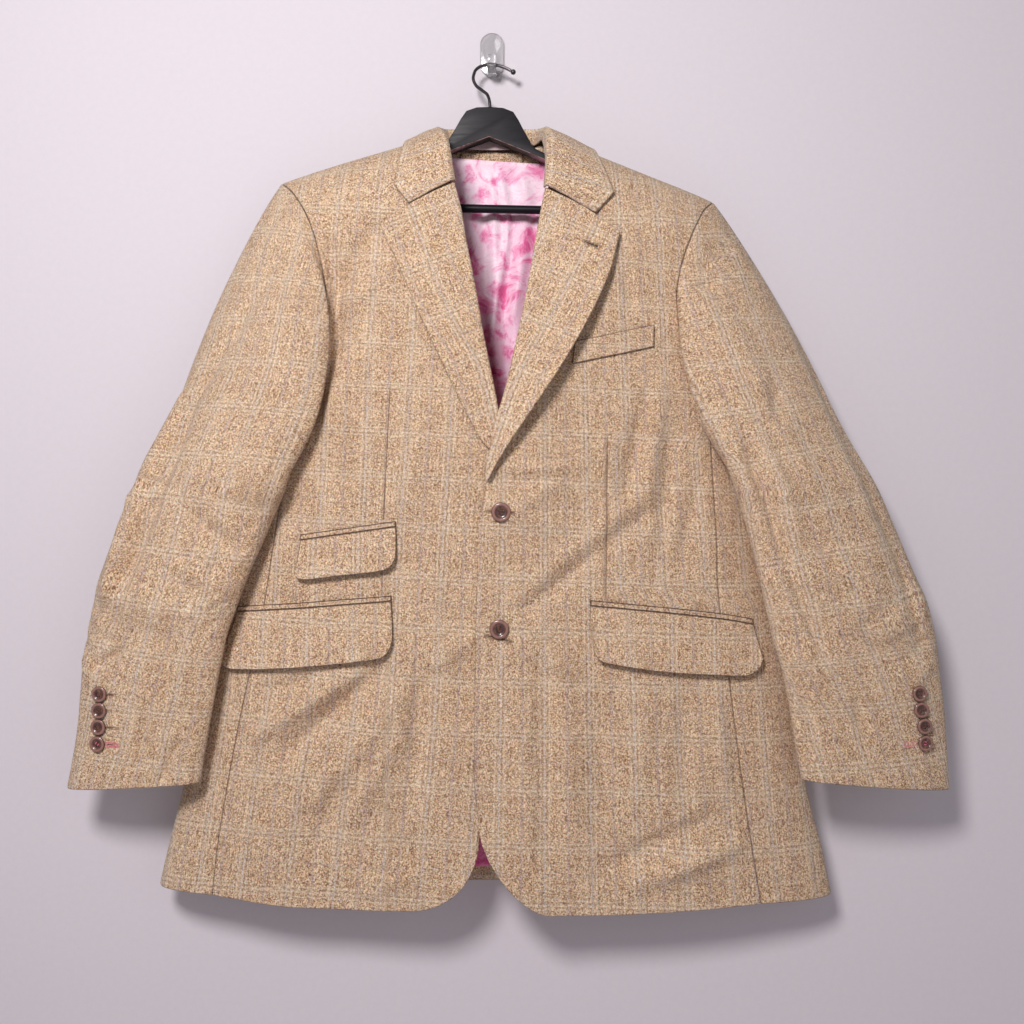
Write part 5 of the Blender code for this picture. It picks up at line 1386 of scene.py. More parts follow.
def threadMesh(diameter, deep):
    # Two sewn bars through each pair of holes and a wound shank below.
    grow = diameter / buttonLook["front"]
    build = bmesh.new()
    reach = buttonLook["spread"] * grow
    up = buttonLook["tall"] * diameter / 2 * 0.5
    for sy in (-1, 1):
        for k, off in enumerate((-0.34, 0.0, 0.34)):
            rise = up + 0.30 * grow + 0.10 * (k == 1)
            route = ((-1, -1.3), (-0.86, -0.25), (-0.4, 0.0), (0.4, 0.0), (0.86, -0.25), (1, -1.3))
            y = sy * reach + off * grow
            tube(build, [Vector((reach * x, y, rise + z)) for x, z in route], 0.24 * grow, 7)
    for k in range(4):
        ring = [Vector((1.35 * grow * math.cos(a), 1.35 * grow * math.sin(a), -0.15 - deep * (k + 0.5) / 4))
                for a in (2 * math.pi * n / 18 for n in range(19))]
        tube(build, ring, max(deep / 7, 0.16), 6)
    mesh = meshOf(build, "button_thread")
    mesh.shade_smooth()
    return mesh


def tube(build, route, radius, sides):
    # A closed round tube along a route.
    rings = []
    for i, place in enumerate(route):
        way = (route[min(i + 1, len(route) - 1)] - route[max(i - 1, 0)]).normalized()
        side = way.cross(Vector((0.13, 0.21, 0.97)))
        side = (side if side.length > 0.2 else way.cross(Vector((1, 0, 0)))).normalized()
        other = way.cross(side)
        rings.append([build.verts.new(place + (side * math.cos(a) + other * math.sin(a)) * radius)
                      for a in circle(sides)])
    for one, two in zip(rings, rings[1:]):
        for k in range(sides):
            build.faces.new((one[k], one[(k + 1) % sides], two[(k + 1) % sides], two[k]))
    build.faces.new(rings[0][::-1])
    build.faces.new(rings[-1])


def sewButton(name, blank, thread, place, facing, spin, horn, threadLook):
    turn = facing.to_track_quat("Z", "Y").to_matrix().to_4x4() @ Matrix.Rotation(spin, 4, "Z")
    fit = Matrix.Scale(mm, 4) @ Matrix.Translation(place) @ turn
    mesh = blank.copy()
    mesh.transform(fit)
    plainPiece(name + "_turned", mesh, horn, "horn", name)
    sewn = thread.copy()
    sewn.transform(fit)
    plainPiece(name + "_thread", sewn, threadLook, "tweed")


def buttonPieces(looks):
    front, cuff = (turnedButton(buttonLook[kind], looks["horn"]) for kind in ("front", "cuff"))
    frontThread = threadMesh(buttonLook["front"], frontShank + 0.6)
    cuffThread = threadMesh(buttonLook["cuff"], cuffShank)
    for number, (x, z) in enumerate(frontButtons, 1):
        point, normal = onFront(x, z, 0.0, 1)
        point += normal * (overlapLift(1, x, z) + frontShank)
        sewButton("button_front_%d" % number, front, frontThread, point, normal, 0.2 * number, looks["horn"],
                  looks["thread"])
    for side, places in cuffButtons.items():
        who = whose[side]
        for number, (x, z) in enumerate(places, 1):
            point, normal = sleeveSurface(side, x, z)
            last = number == len(places)
            facing = (normal + Vector((0, -cuffFacing, 0))).normalized()
            sewn = looks["pinkThread" if last else "thread"]
            point += normal * cuffShank
            sewButton("button_cuff_%s_%d" % (who, number), cuff, cuffThread, point, facing, 0.5 * number + side,
                      looks["horn"], sewn)


# Hanger and hooks
hangerLook = {"y": -36.5, "thickness": 17.0, "bevel": 2.4, "bar": 9.0, "wire": 3.4, "lean": -1.2}


def copyOfNode(node):
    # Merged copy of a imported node's mesh.
    source = bpy.data.objects[node]
    build = bmesh.new()
    build.from_mesh(source.data)
    bmesh.ops.remove_doubles(build, verts=build.verts, dist=0.00002)
    bmesh.ops.dissolve_limit(build, angle_limit=math.radians(1.0), verts=build.verts, edges=build.edges)
    bmesh.ops.recalc_face_normals(build, faces=build.faces)
    return build


def bevelled(node, name, width, segments, look, slot):
    build = copyOfNode(node)
    edges = [e for e in build.edges if len(e.link_faces) == 2 and e.calc_face_angle(0) > math.radians(50)]
    bmesh.ops.bevel(build, geom=edges, offset=width * mm, segments=segments, profile=0.5, affect="EDGES",
                    clamp_overlap=True)
    bmesh.ops.recalc_face_normals(build, faces=build.faces)
    mesh = meshOf(build, name)
    mesh.shade_smooth()
    mesh.set_sharp_from_angle(angle=math.radians(50))
    return plainPiece(name, mesh, look, slot, node)


def hangerPieces(looks):
    (left, zLeft), (right, zRight) = tilted([(-185, -179), (185, -179)], hangerLook["lean"])
    body = bevelled("hanger_body", "hanger_body_painted", hangerLook["bevel"], 4, looks["wood"], "wood")
    build = bmesh.new()
    rod = [Vector((between(left, right, t), hangerLook["y"], between(zLeft, zRight, t)))
           for t in (0.0, 0.004, 0.35, 0.65, 0.996, 1.0)]
    tube(build, rod, hangerLook["bar"] / 2, 40)
    plainPiece("hanger_bar_turned", finished(build, "hanger_bar_turned"), looks["wood"], "wood", "hanger_bar")

    build = bmesh.new()
    tube(build, smoothRoute(wireRoute(), 8), hangerLook["wire"] / 2, 20)
    plainPiece("hanger_hook_wire", finished(build, "hanger_hook_wire"), looks["wire"], "wire", "hanger_hook")
    coarse = smoothRoute(wireRoute(), 2)
    way = (coarse[-1] - coarse[-2]).normalized()
    build = bmesh.new()
    bmesh.ops.create_uvsphere(build, u_segments=32, v_segments=18, radius=2.9,
                              matrix=Matrix.Translation(coarse[-1] + way * 3.3))
    plainPiece("hook_tip_ball", finished(build, "hook_tip_ball"), looks["wire"], "wire", "hook_tip")
    bevelled("wall_hook_plate", "wall_hook_plate_clear", 0.7, 3, looks["clear"], "clear")
    bevelled("wall_hook_tongue", "wall_hook_tongue_clear", 0.8, 3, looks["clear"], "clear")
    return body


def finished(build, name):
    bmesh.ops.recalc_face_normals(build, faces=build.faces)
    mesh = meshOf(build, name)
    mesh.transform(Matrix.Scale(mm, 4))
    mesh.shade_smooth()
    mesh.set_sharp_from_angle(angle=math.radians(40))
    return mesh


# Finishes
def newNode(tree, kind, inputs=(), **settings):
    # A node with its settings; inputs are numbers, colours or the sockets of other nodes.
    node = tree.nodes.new(kind)
    for label, value in settings.items():
        setattr(node, label, value)
    return feedAll(tree, node, inputs)


def feedAll(tree, node, inputs):
    for label, value in inputs.items() if isinstance(inputs, dict) else enumerate(inputs):
        if isinstance(value, bpy.types.NodeSocket):
            tree.links.new(value, node.inputs[label])
        elif value is not None:
            node.inputs[label].default_value = value
    return node


def addSockets(tree, way, sockets):
    for label, kind, value in sockets:
        socket = tree.interface.new_socket(label, in_out=way, socket_type="NodeSocket" + kind)
        if value is not None:
            socket.default_value = value


def figure(tree, operation, *values):
    return newNode(tree, "ShaderNodeMath", values, operation=operation).outputs[0]


def times(tree, one, two):
    return figure(tree, "MULTIPLY", one, two)


def plus(tree, one, two):
    return figure(tree, "ADD", one, two)


def minus(tree, one, two):
    return figure(tree, "SUBTRACT", one, two)


def blend(tree, how, amount, one, two):
    node = newNode(tree, "ShaderNodeMix", data_type="RGBA", blend_type=how)
    return feedAll(tree, node, {0: amount, 6: one, 7: two}).outputs[2]


def span(tree, value, low, high, outLow=0.0, outHigh=1.0):
    inputs = (value, low, high, outLow, outHigh)
    return newNode(tree, "ShaderNodeMapRange", inputs, interpolation_type="SMOOTHSTEP").outputs[0]


def stretch(tree, vector, scale):
    return newNode(tree, "ShaderNodeMapping", {"Vector": vector, "Scale": scale}).outputs[0]


def grain(tree, vector, scale, detail=2.0, roughness=0.5):
    inputs = {"Vector": vector, "Scale": scale, "Detail": detail, "Roughness": roughness}
    return newNode(tree, "ShaderNodeTexNoise", inputs).outputs["Fac"]


def parts(tree, vector):
    return newNode(tree, "ShaderNodeSeparateXYZ", (vector,)).outputs


def attribute(tree, name):
    return newNode(tree, "ShaderNodeAttribute", attribute_name=name).outputs["Fac"]


def ramp(tree, value, stops):
    node = newNode(tree, "ShaderNodeValToRGB", (value,))
    band = node.color_ramp
    for element, (place, shade) in zip(band.elements, (stops[0], stops[-1])):
        element.position = place
        element.color = shade
    for place, shade in stops[1:-1]:
        band.elements.new(place).color = shade
    return node.outputs[0]


def colour(*shade):
    # A colour given as it looks on the screen.
    return (*(((v / 255 + 0.055) / 1.055) ** 2.4 if v > 10 else v / 255 / 12.92 for v in shade), 1.0)


checkLook = {
    "apart": 0.0044, "thin": 0.0010,         # pale lines each side of the middle one
    "speck": 0.00078, "fibre": 0.0005,
    "yarns": ((0.0, colour(98, 66, 50)), (0.22, colour(156, 121, 98)), (0.45, colour(206, 180, 154)),
              (0.66, colour(232, 209, 184)), (0.85, colour(252, 237, 219)), (1.0, colour(255, 252, 246))),
    "tints": ((0.0, colour(255, 212, 190)), (0.2, colour(255, 238, 218)), (0.42, colour(255, 246, 204)),
              (0.6, colour(255, 242, 228)), (0.78, colour(228, 236, 196)), (0.9, colour(226, 226, 255)),
              (1.0, colour(255, 226, 214))),
    "blueLine": colour(212, 220, 232), "creamLine": colour(255, 246, 230), "greyLine": colour(160, 148, 162),
    "darkLine": colour(140, 106, 80),
    "haze": colour(206, 192, 150),
}


def lineMask(tree, distance, place, width):
    off = figure(tree, "ABSOLUTE", figure(tree, "SUBTRACT", distance, place))
    return span(tree, off, width * 0.2, width * 1.5, 1.0, 0.0)


def tweedGroup():
    tree = bpy.data.node_groups.new("tweedWeave", "ShaderNodeTree")
    addSockets(tree, "INPUT", (("Cloth", "Vector", None), ("Shade", "Float", 1.0)))
    addSockets(tree, "OUTPUT", (("Colour", "Color", None), ("Height", "Float", None)))
    given, result = tree.nodes.new("NodeGroupInput"), tree.nodes.new("NodeGroupOutput")
    cloth = given.outputs["Cloth"]
    u, v, _ = parts(tree, cloth)
    picks = []
    for size, squeeze in ((checkLook["speck"], (1.0, 0.84, 1.0)), (checkLook["fibre"], (0.8, 1.0, 1.0))):
        inputs = {"Vector": stretch(tree, cloth, squeeze), "Scale": 1 / size}
        node = newNode(tree, "ShaderNodeTexVoronoi", inputs)
        picks.append(newNode(tree, "ShaderNodeSeparateColor", (node.outputs["Color"],)).outputs)
    speck, fibre = picks
    warp = grain(tree, stretch(tree, cloth, (1.0, 0.02, 1.0)), 520.0, 1.0)
    weft = grain(tree, stretch(tree, cloth, (0.03, 1.0, 1.0)), 480.0, 1.0)
    cloud = grain(tree, cloth, 30.0, 3.0, 0.55)
    pick = plus(tree, times(tree, speck[0], 0.8), times(tree, fibre[0], 0.2))
    for part, share in ((warp, 0.34), (weft, 0.16), (cloud, 0.04)):
        pick = plus(tree, pick, times(tree, minus(tree, part, 0.5), share))
    base = ramp(tree, pick, checkLook["yarns"])
    base = blend(tree, "MULTIPLY", 0.85, base, ramp(tree, speck[1], checkLook["tints"]))
    broken = span(tree, speck[2], 0.05, 0.8, 0.4, 1.0)
    uneven = span(tree, grain(tree, cloth, 60.0, 2.0), 0.3, 0.68, 0.75, 1.0)
    patchy = times(tree, broken, uneven)
    wide, apart = checkLook["thin"], checkLook["apart"]
    pale, dark = checkLook["creamLine"], checkLook["darkLine"]
    for axis, repeat, power, middle, single in ((u, checkAcross, 1.0, checkLook["blueLine"], 0.34),
                                                (v, checkDown, 0.85, pale, 0.14)):
        places = plus(tree, figure(tree, "DIVIDE", axis, repeat), 0.5)
        distance, half = (times(tree, minus(tree, figure(tree, "FRACT", at), 0.5), repeat)
                          for at in (places, plus(tree, places, 0.5)))
        haze = times(tree, span(tree, figure(tree, "ABSOLUTE", distance), 0.002, 0.0085, 1.0, 0.0), 0.04)
        base = blend(tree, "MIX", haze, base, checkLook["haze"])
        for place, width, shade, strength in (
                (0.0, wide * 1.2, middle, 0.34), (apart, wide, pale, 0.26), (-apart, wide, pale, 0.26),
                (apart * 0.55, wide, dark, 0.24), (-apart * 0.55, wide, dark, 0.24)):
            mask = times(tree, lineMask(tree, distance, place, width), patchy)
            base = blend(tree, "MIX", times(tree, mask, strength * power), base, shade)
        mask = times(tree, lineMask(tree, half, 0.0, wide * 1.6), broken)
        base = blend(tree, "MIX", times(tree, mask, single), base, checkLook["greyLine"])
    shade = newNode(tree, "ShaderNodeHueSaturation", {"Color": base, "Value": given.outputs["Shade"]})
    height = plus(tree, times(tree, speck[0], 0.6), times(tree, fibre[0], 0.3))
    height = plus(tree, height, times(tree, warp, 0.4))
    feedAll(tree, result, {"Colour": shade.outputs[0], "Height": height})
    return tree


def newMaterial(name):
    made = bpy.data.materials.new(name)
    made.use_nodes = True
    tree = made.node_tree
    tree.nodes.clear()
    shader = tree.nodes.new("ShaderNodeBsdfPrincipled")
    newNode(tree, "ShaderNodeOutputMaterial", (shader.outputs[0],))
    return made, tree, shader


def clothUv(tree):
    return newNode(tree, "ShaderNodeUVMap", uv_map="cloth").outputs[0]


def objectPlace(tree):
    return tree.nodes.new("ShaderNodeTexCoord").outputs["Object"]


def dress(tree, shader, inputs, height, strength, distance):
    # The shader's own inputs and a bump of height.
    bump = newNode(tree, "ShaderNodeBump", {"Strength": strength, "Distance": distance, "Height": height})
    feedAll(tree, shader, {**inputs, "Normal": bump.outputs[0]})


dartLines = {"left": ((119, -421, 118, -594),), "right": ((-102, -375, -109, -514), (-110, -533, -111, -590))}


def dartLook(tree, dart, shade, height):
    # The sewn line of a dart: a thin fold painted darker as its shade, in a soft bumped dent.
    x0, z0, x1, z1 = (value * mm for value in dart)
    x, _, z = parts(tree, objectPlace(tree))
    along = figure(tree, "DIVIDE", minus(tree, z, z0), z1 - z0)
    off = figure(tree, "ABSOLUTE", minus(tree, x, plus(tree, times(tree, along, x1 - x0), x0)))
    ends = times(tree, span(tree, along, 0.0, 0.06), span(tree, along, 0.97, 1.0, 1.0, 0.0))
    fold = times(tree, span(tree, off, 0.0003, 0.0010, 1.0, 0.0), ends)
    dent = times(tree, span(tree, off, 0.0003, 0.0030, 1.0, 0.0), ends)
    # painted shade along the dart's fold
    shade = blend(tree, "MULTIPLY", times(tree, fold, 0.6), shade, colour(120, 78, 48))
    return shade, minus(tree, height, times(tree, dent, 1.6))


def tweedMaterial(name, weave, darts=(), rimShade=0.45, rimWide=0.8):
    made, tree, shader = newMaterial(name)
    group = newNode(tree, "ShaderNodeGroup", node_tree=weave)
    feedAll(tree, group, {"Cloth": clothUv(tree)})
    shade, height = group.outputs["Colour"], group.outputs["Height"]
    for dart in darts:
        shade, height = dartLook(tree, dart, shade, height)
    # Painted shade: darker brown towards every piece's edge, for the shadow in the seams, along the front edge
    # and hem, and under the flaps and jets.
    paintedEdgeShade = span(tree, attribute(tree, "rim"), rimWide * 0.3, rimWide * 1.3, rimShade, 0.0)
    shade = blend(tree, "MULTIPLY", paintedEdgeShade, shade, colour(74, 38, 22))
    dress(tree, shader, {"Base Color": shade, "Roughness": 0.88, "Sheen Weight": 0.22, "Sheen Roughness": 0.5,
                         "Specular IOR Level": 0.25}, height, 0.75, 0.0007)
    return made


satinDepths = ((0.0, colour(255, 242, 249)), (0.22, colour(253, 216, 234)), (0.45, colour(247, 174, 208)),
               (0.7, colour(232, 112, 166)), (1.0, colour(206, 54, 120)))


def liningMaterial():
    # Satin with a soft marbled figure of its own, woven tone on tone.
    made, tree, shader = newMaterial("liningSatin")
    cloth = bent = clothUv(tree)
    for scale, reach in ((13.0, 0.06), (60.0, 0.016), (300.0, 0.002)):
        push = newNode(tree, "ShaderNodeTexNoise", {"Vector": bent, "Scale": scale, "Detail": 2.0})
        bend = newNode(tree, "ShaderNodeVectorMath", operation="MULTIPLY_ADD")
        bent = feedAll(tree, bend, (push.outputs["Color"], (reach, reach, 0.0), bent)).outputs[0]
    across, up, _ = parts(tree, cloth)
    down = times(tree, up, -1.0)
    # Painted shade: deeper pink along the pleat down the middle. Deeper under the right front's edge, partly
    # the figure's own deep pink and partly painted shade, and deeper near the hem.
    fromPleat = minus(tree, across, figure(tree, "MULTIPLY_ADD", down, -0.15, 0.0474))
    pleatShade = times(tree, span(tree, fromPleat, 0.0, 0.002), span(tree, down, 0.174, 0.184))
    fromEdge = minus(tree, across, figure(tree, "MULTIPLY_ADD", down, 0.215, -0.077))
    edge = span(tree, fromEdge, 0.018, 0.0)
    low = span(tree, down, 0.78, 0.84)
    marble = figure(tree, "ABSOLUTE", minus(tree, grain(tree, bent, 27.0, 4.0, 0.6), 0.5))
    depth = span(tree, marble, 0.01, 0.18, 0.1, 0.66)
    for mask, share in ((pleatShade, 0.14), (edge, 0.2), (low, 0.2)):
        depth = figure(tree, "MULTIPLY_ADD", mask, share, depth)
    feather = figure(tree, "SINE", times(tree, grain(tree, bent, 30.0, 1.0), 230.0))
    broken = span(tree, grain(tree, cloth, 170.0, 3.0, 0.7), 0.42, 0.58)
    lines = times(tree, span(tree, feather, 0.1, 0.9), broken)
    lines = times(tree, lines, span(tree, depth, 0.15, 0.5, 0.3, 1.0))
    ground = blend(tree, "MIX", times(tree, lines, 0.5), ramp(tree, depth, satinDepths), colour(206, 58, 126))
    twist = grain(tree, stretch(tree, cloth, (1.0, 0.06, 1.0)), 2600.0, 1.0)
    ground = blend(tree, "MULTIPLY", times(tree, twist, 0.18), ground, colour(232, 180, 206))
    dress(tree, shader, {"Base Color": ground, "Roughness": span(tree, lines, 0.0, 1.0, 0.48, 0.60),
                         "Sheen Weight": 0.3, "Sheen Roughness": 0.35, "Specular IOR Level": 0.4},
          plus(tree, lines, times(tree, twist, 0.5)), 0.25, 0.0002)
    return made


ribRepeat = 0.0009


def bandMaterial():
    made, tree, shader = newMaterial("bandRibbed")
    cloth = clothUv(tree)
    rib = figure(tree, "SINE", times(tree, parts(tree, cloth)[0], 2 * math.pi / ribRepeat))
    patchy = grain(tree, cloth, 300.0, 2.0)
    tone = blend(tree, "MIX", patchy, colour(240, 214, 214), colour(222, 188, 190))
    dress(tree, shader, {"Base Color": tone, "Roughness": 0.7}, plus(tree, rib, patchy), 0.3, 0.0002)
    return made


hornTones = ((0.25, colour(44, 26, 22)), (0.48, colour(82, 50, 42)), (0.62, colour(118, 78, 64)),
             (0.8, colour(156, 116, 98)))


def hornMaterial():
    made, tree, shader = newMaterial("hornPolished")
    place = objectPlace(tree)
    streak = grain(tree, stretch(tree, place, (1.0, 1.0, 0.28)), 420.0, 4.0, 0.62)
    tone = ramp(tree, streak, hornTones)
    tone = blend(tree, "MIX", times(tree, attribute(tree, "rimWear"), 0.6), tone, colour(172, 128, 114))
    rough = span(tree, grain(tree, place, 900.0, 2.0), 0.3, 0.7, 0.24, 0.4)
    dress(tree, shader, {"Base Color": tone, "Roughness": rough, "Coat Weight": 0.8, "Coat Roughness": 0.12},
          streak, 0.12, 0.0003)
    return made


def woodMaterial():
    made, tree, shader = newMaterial("hangerBlackPaint")
    place = objectPlace(tree)
    along = grain(tree, stretch(tree, place, (0.12, 1.0, 1.0)), 260.0, 4.0, 0.6)
    tone = blend(tree, "MIX", grain(tree, place, 24.0, 3.0), colour(15, 14, 17), colour(26, 24, 29))
    uneven = span(tree, grain(tree, place, 190.0, 3.0), 0.32, 0.5, 0.35, 1.0)
    # Pale pinkish line along the yoke's lower front edge.
    tone = blend(tree, "MIX", times(tree, attribute(tree, "paleEdgeLine"), uneven), tone, colour(206, 172, 166))
    rough = span(tree, along, 0.3, 0.7, 0.34, 0.5)
    inputs = {"Base Color": tone, "Roughness": rough, "Specular IOR Level": 0.22}
    dress(tree, shader, inputs, along, 0.2, 0.0003)
    return made


def wireMaterial():
    made, tree, shader = newMaterial("wireDarkSteel")
    drawn = grain(tree, objectPlace(tree), 900.0, 2.0)
    tone = blend(tree, "MIX", drawn, colour(70, 66, 70), colour(104, 98, 100))
    rough = span(tree, drawn, 0.3, 0.7, 0.26, 0.4)
    dress(tree, shader, {"Base Color": tone, "Metallic": 1.0, "Roughness": rough}, drawn, 0.1, 0.0001)
    return made


def clearMaterial():
    made, tree, shader = newMaterial("hookClearPlastic")
    haze = grain(tree, objectPlace(tree), 160.0, 3.0)
    tone = blend(tree, "MIX", haze, (0.93, 0.94, 0.95, 1.0), (0.98, 0.97, 0.96, 1.0))
    dress(tree, shader, {"Base Color": tone, "Roughness": span(tree, haze, 0.3, 0.8, 0.06, 0.16),
                         "Transmission Weight": 0.92, "IOR": 1.47}, haze, 0.05, 0.0004)
    return made


def threadMaterial(name, dark, light):
    made, tree, shader = newMaterial(name)
    ply = grain(tree, objectPlace(tree), 2400.0, 2.0)
    tone = blend(tree, "MIX", ply, colour(*dark), colour(*light))
    dress(tree, shader, {"Base Color": tone, "Roughness": 0.6, "Sheen Weight": 0.3}, ply, 0.4, 0.0002)
    return made


def wallMaterial():
    # Plain matt wall that lets light and camera through from behind.
    made, tree, shader = newMaterial("wallMatt")
    rough = grain(tree, objectPlace(tree), 160.0, 3.0)
    tone = blend(tree, "MIX", rough, colour(214, 208, 213), colour(220, 214, 219))
    dress(tree, shader, {"Base Color": tone, "Roughness": 0.9}, rough, 0.1, 0.0006)
    out = next(n for n in tree.nodes if n.type == "OUTPUT_MATERIAL")
    behind = tree.nodes.new("ShaderNodeNewGeometry")
    clear = tree.nodes.new("ShaderNodeBsdfTransparent")
    inputs = (behind.outputs["Backfacing"], shader.outputs[0], clear.outputs[0])
    mix = newNode(tree, "ShaderNodeMixShader", inputs)
    feedAll(tree, out, (mix.outputs[0],))
    return made


def allLooks():
    weave = tweedGroup()
    return {
        "tweed": tweedMaterial("tweedCloth", weave),
        # Flaps and jets get stronger painted edge shade than the rest of the cloth.
        "flap": tweedMaterial("tweedFlap", weave, (), 0.75, 0.9),
        "jet": tweedMaterial("tweedJet", weave, (), 0.95, 1.0),
        "frontLeft": tweedMaterial("tweedFrontLeft", weave, dartLines["left"]),
        "frontRight": tweedMaterial("tweedFrontRight", weave, dartLines["right"]),
        "lining": liningMaterial(),
        "band": bandMaterial(),
        "horn": hornMaterial(),
        "wood": woodMaterial(),
        "wire": wireMaterial(),
        "clear": clearMaterial(),
        "thread": threadMaterial("threadBrown", (70, 46, 32), (118, 84, 58)),
        "holeThread": threadMaterial("threadTan", (104, 74, 48), (150, 112, 76)),
        "pinkThread": threadMaterial("threadPink", (196, 84, 112), (232, 132, 154)),
        "slit": threadMaterial("slitShade", (38, 24, 18), (58, 38, 28)),
    }


# Camera, light and wall
studioLook = {"wallBehind": 0.0006, "floor": -1.24, "key": 25.0, "fill": 3.0, "world": 0.22}


def placeCamera():
    data = bpy.data.cameras.new("camera")
    data.lens = 40.43
    data.sensor_width = 36.0
    camera = placed("camera", data)
    camera.location = (0.022, -1.27, -0.504)
    camera.rotation_euler = (math.radians(90), 0, 0)
    bpy.context.scene.camera = camera


def softLight(name, place, target, size, power, tint):
    data = bpy.data.lights.new(name, "AREA")
    data.shape = "DISK"
    data.size = size
    data.energy = power
    data.color = tint
    lamp = placed(name, data)
    lamp.location = place
    lamp.rotation_euler = (Vector(target) - Vector(place)).to_track_quat("-Z", "Y").to_euler()


def flatSheet(name, corners, look):
    mesh = bpy.data.meshes.new(name)
    mesh.from_pydata(corners, [], [(0, 1, 2, 3)])
    mesh.materials.append(look)
    made = placed(name, mesh)
    return made


def studio():
    scene = bpy.context.scene
    scene.view_settings.view_transform = "Standard"
    world = bpy.data.worlds.new("paleRoom")
    scene.world = world
    world.use_nodes = True
    back = world.node_tree.nodes["Background"]
    back.inputs[0].default_value = (0.93, 0.93, 0.98, 1.0)
    back.inputs[1].default_value = studioLook["world"]
    behind, low = studioLook["wallBehind"], studioLook["floor"]
    look = wallMaterial()
    wall = flatSheet("wall", [(-3, behind, low), (3, behind, low), (3, behind, 1.6), (-3, behind, 1.6)], look)
    wall.visible_shadow = False
    wall.visible_diffuse = False  # daylight still reaches the back of the jacket
    flatSheet("floor", [(-3, -3, low), (3, -3, low), (3, 3, low), (-3, 3, low)], look)
    softLight("key", (-0.42, -1.5, 0.32), (0.04, 0, -0.46), 0.42, studioLook["key"], (1.0, 0.955, 0.965))
    softLight("fill", (1.4, -2.0, -0.2), (0.0, 0, -0.5), 1.6, studioLook["fill"], (0.97, 0.97, 1.0))


# Buttonholes
holeLook = {"stitchLength": 1.9, "stitchWidth": 0.42, "step": 0.62, "slit": 0.55, "seed": 7,
            "vary": (0.86, 1.12)}


def stitchTree(name):
    # Sews one short thread across every point, turned by the point's own ways.
    tree = bpy.data.node_groups.new(name, "GeometryNodeTree")
    addSockets(tree, "INPUT", (
        ("Points", "Geometry", None), ("Stitch length", "Float", 0.0019), ("Stitch width", "Float", 0.00042),
        ("Seed", "Int", holeLook["seed"]), ("Thread", "Material", None)))
    addSockets(tree, "OUTPUT", (("Stitches", "Geometry", None),))
    given = tree.nodes.new("NodeGroupInput").outputs
    across, out = (newNode(tree, "GeometryNodeInputNamedAttribute", {"Name": label}, data_type="FLOAT_VECTOR")
                   for label in ("across", "out"))
    thread = newNode(tree, "GeometryNodeMeshUVSphere", {"Segments": 8, "Rings": 6, "Radius": 0.5})
    width = given["Stitch width"]
    size = newNode(tree, "ShaderNodeCombineXYZ", (given["Stitch length"], width, width))
    shaped = newNode(tree, "GeometryNodeTransform", {0: thread.outputs[0], "Scale": size.outputs[0]})
    first = newNode(tree, "FunctionNodeAlignRotationToVector", {"Vector": across.outputs[0]}, axis="X")
    second = newNode(tree, "FunctionNodeAlignRotationToVector",
                     {"Rotation": first.outputs[0], "Vector": out.outputs[0]}, axis="Z", pivot_axis="X")
    least, most = holeLook["vary"]
    inputs = {2: least, 3: most, "Seed": given["Seed"]}
    vary = newNode(tree, "FunctionNodeRandomValue", inputs, data_type="FLOAT")
    sew = newNode(tree, "GeometryNodeInstanceOnPoints", {
        "Points": given["Points"], "Instance": shaped.outputs[0], "Rotation": second.outputs[0],
        "Scale": vary.outputs[1]})
    real = newNode(tree, "GeometryNodeRealizeInstances", (sew.outputs[0],))
    inputs = {"Geometry": real.outputs[0], "Material": given["Thread"]}
    dressed = newNode(tree, "GeometryNodeSetMaterial", inputs)
    newNode(tree, "NodeGroupOutput", (dressed.outputs[0],))
    return tree


def sewStitches(name, tree, spots, look, length, width):
    # spots are (place, way across, way out) in millimetres.
    mesh = bpy.data.meshes.new(name + "_spots")
    mesh.from_pydata([tuple(place * mm) for place, _, _ in spots], [], [])
    for label, k in (("across", 1), ("out", 2)):
        layer = mesh.attributes.new(label, "FLOAT_VECTOR", "POINT")
        layer.data.foreach_set("vector", np.array([list(s[k]) for s in spots], dtype=float).ravel())
    guide = placed(name + "_guide", mesh)
    sewn = guide.modifiers.new("stitches", "NODES")
    sewn.node_group = tree
    given = {item.name: item.identifier for item in tree.interface.items_tree if item.in_out == "INPUT"}
    sewn[given["Stitch length"]] = length * mm
    sewn[given["Stitch width"]] = width * mm
    sewn[given["Seed"]] = holeLook["seed"]
    sewn[given["Thread"]] = look
    bpy.context.view_layer.update()
    made = bpy.data.meshes.new_from_object(guide.evaluated_get(bpy.context.evaluated_depsgraph_get()))
    bpy.data.objects.remove(guide)
    made.shade_smooth()
    plainPiece(name, made, look, "tweed")


def eyeAt(along, length, eye):
    # How far a buttonhole widens into its eye near the far end.
    return eye * ease((along - length + 3.2) / 2.4)


def holeSpots(start, end, surface, step, gap, eye=0.0):
    # Stitch places round a straight slit, and round its eye at the far end.
    run = end - start
    length = run.length
    way = run / length
    side = Vector((-way.y, way.x))
    count = int(length / step)
    found = []
    for k in range(count + 1):
        along = length * k / count
        for across in (-side, side):
            found.append((start + way * along + across * (gap + eyeAt(along, length, eye)), across))
    for place, out, reach, total in ((start, -way, gap, 6), (end, way, gap + eye, 10 if eye else 6)):
        for k in range(1, total):
            a = math.pi * (k / total - 0.5)
            turned = out * math.cos(a) + side * math.sin(a)
            found.append((place + turned * reach, turned))
    spots = []
    for flat, across in found:
        point, normal = surface(flat.x, flat.y)
        beyond, _ = surface(flat.x + across.x * 0.5, flat.y + across.y * 0.5)
        spots.append((point + normal * 0.12, (beyond - point).normalized(), normal))
    return spots


def frontTop(side):
    # Outside of a front's cloth with everything that lifts it.
    def surface(x, z):
        point, normal = onFront(x, z, 0.0, side)
        return point + normal * (overlapLift(side, x, z) + frontRise(side, x, z)), normal
    return surface


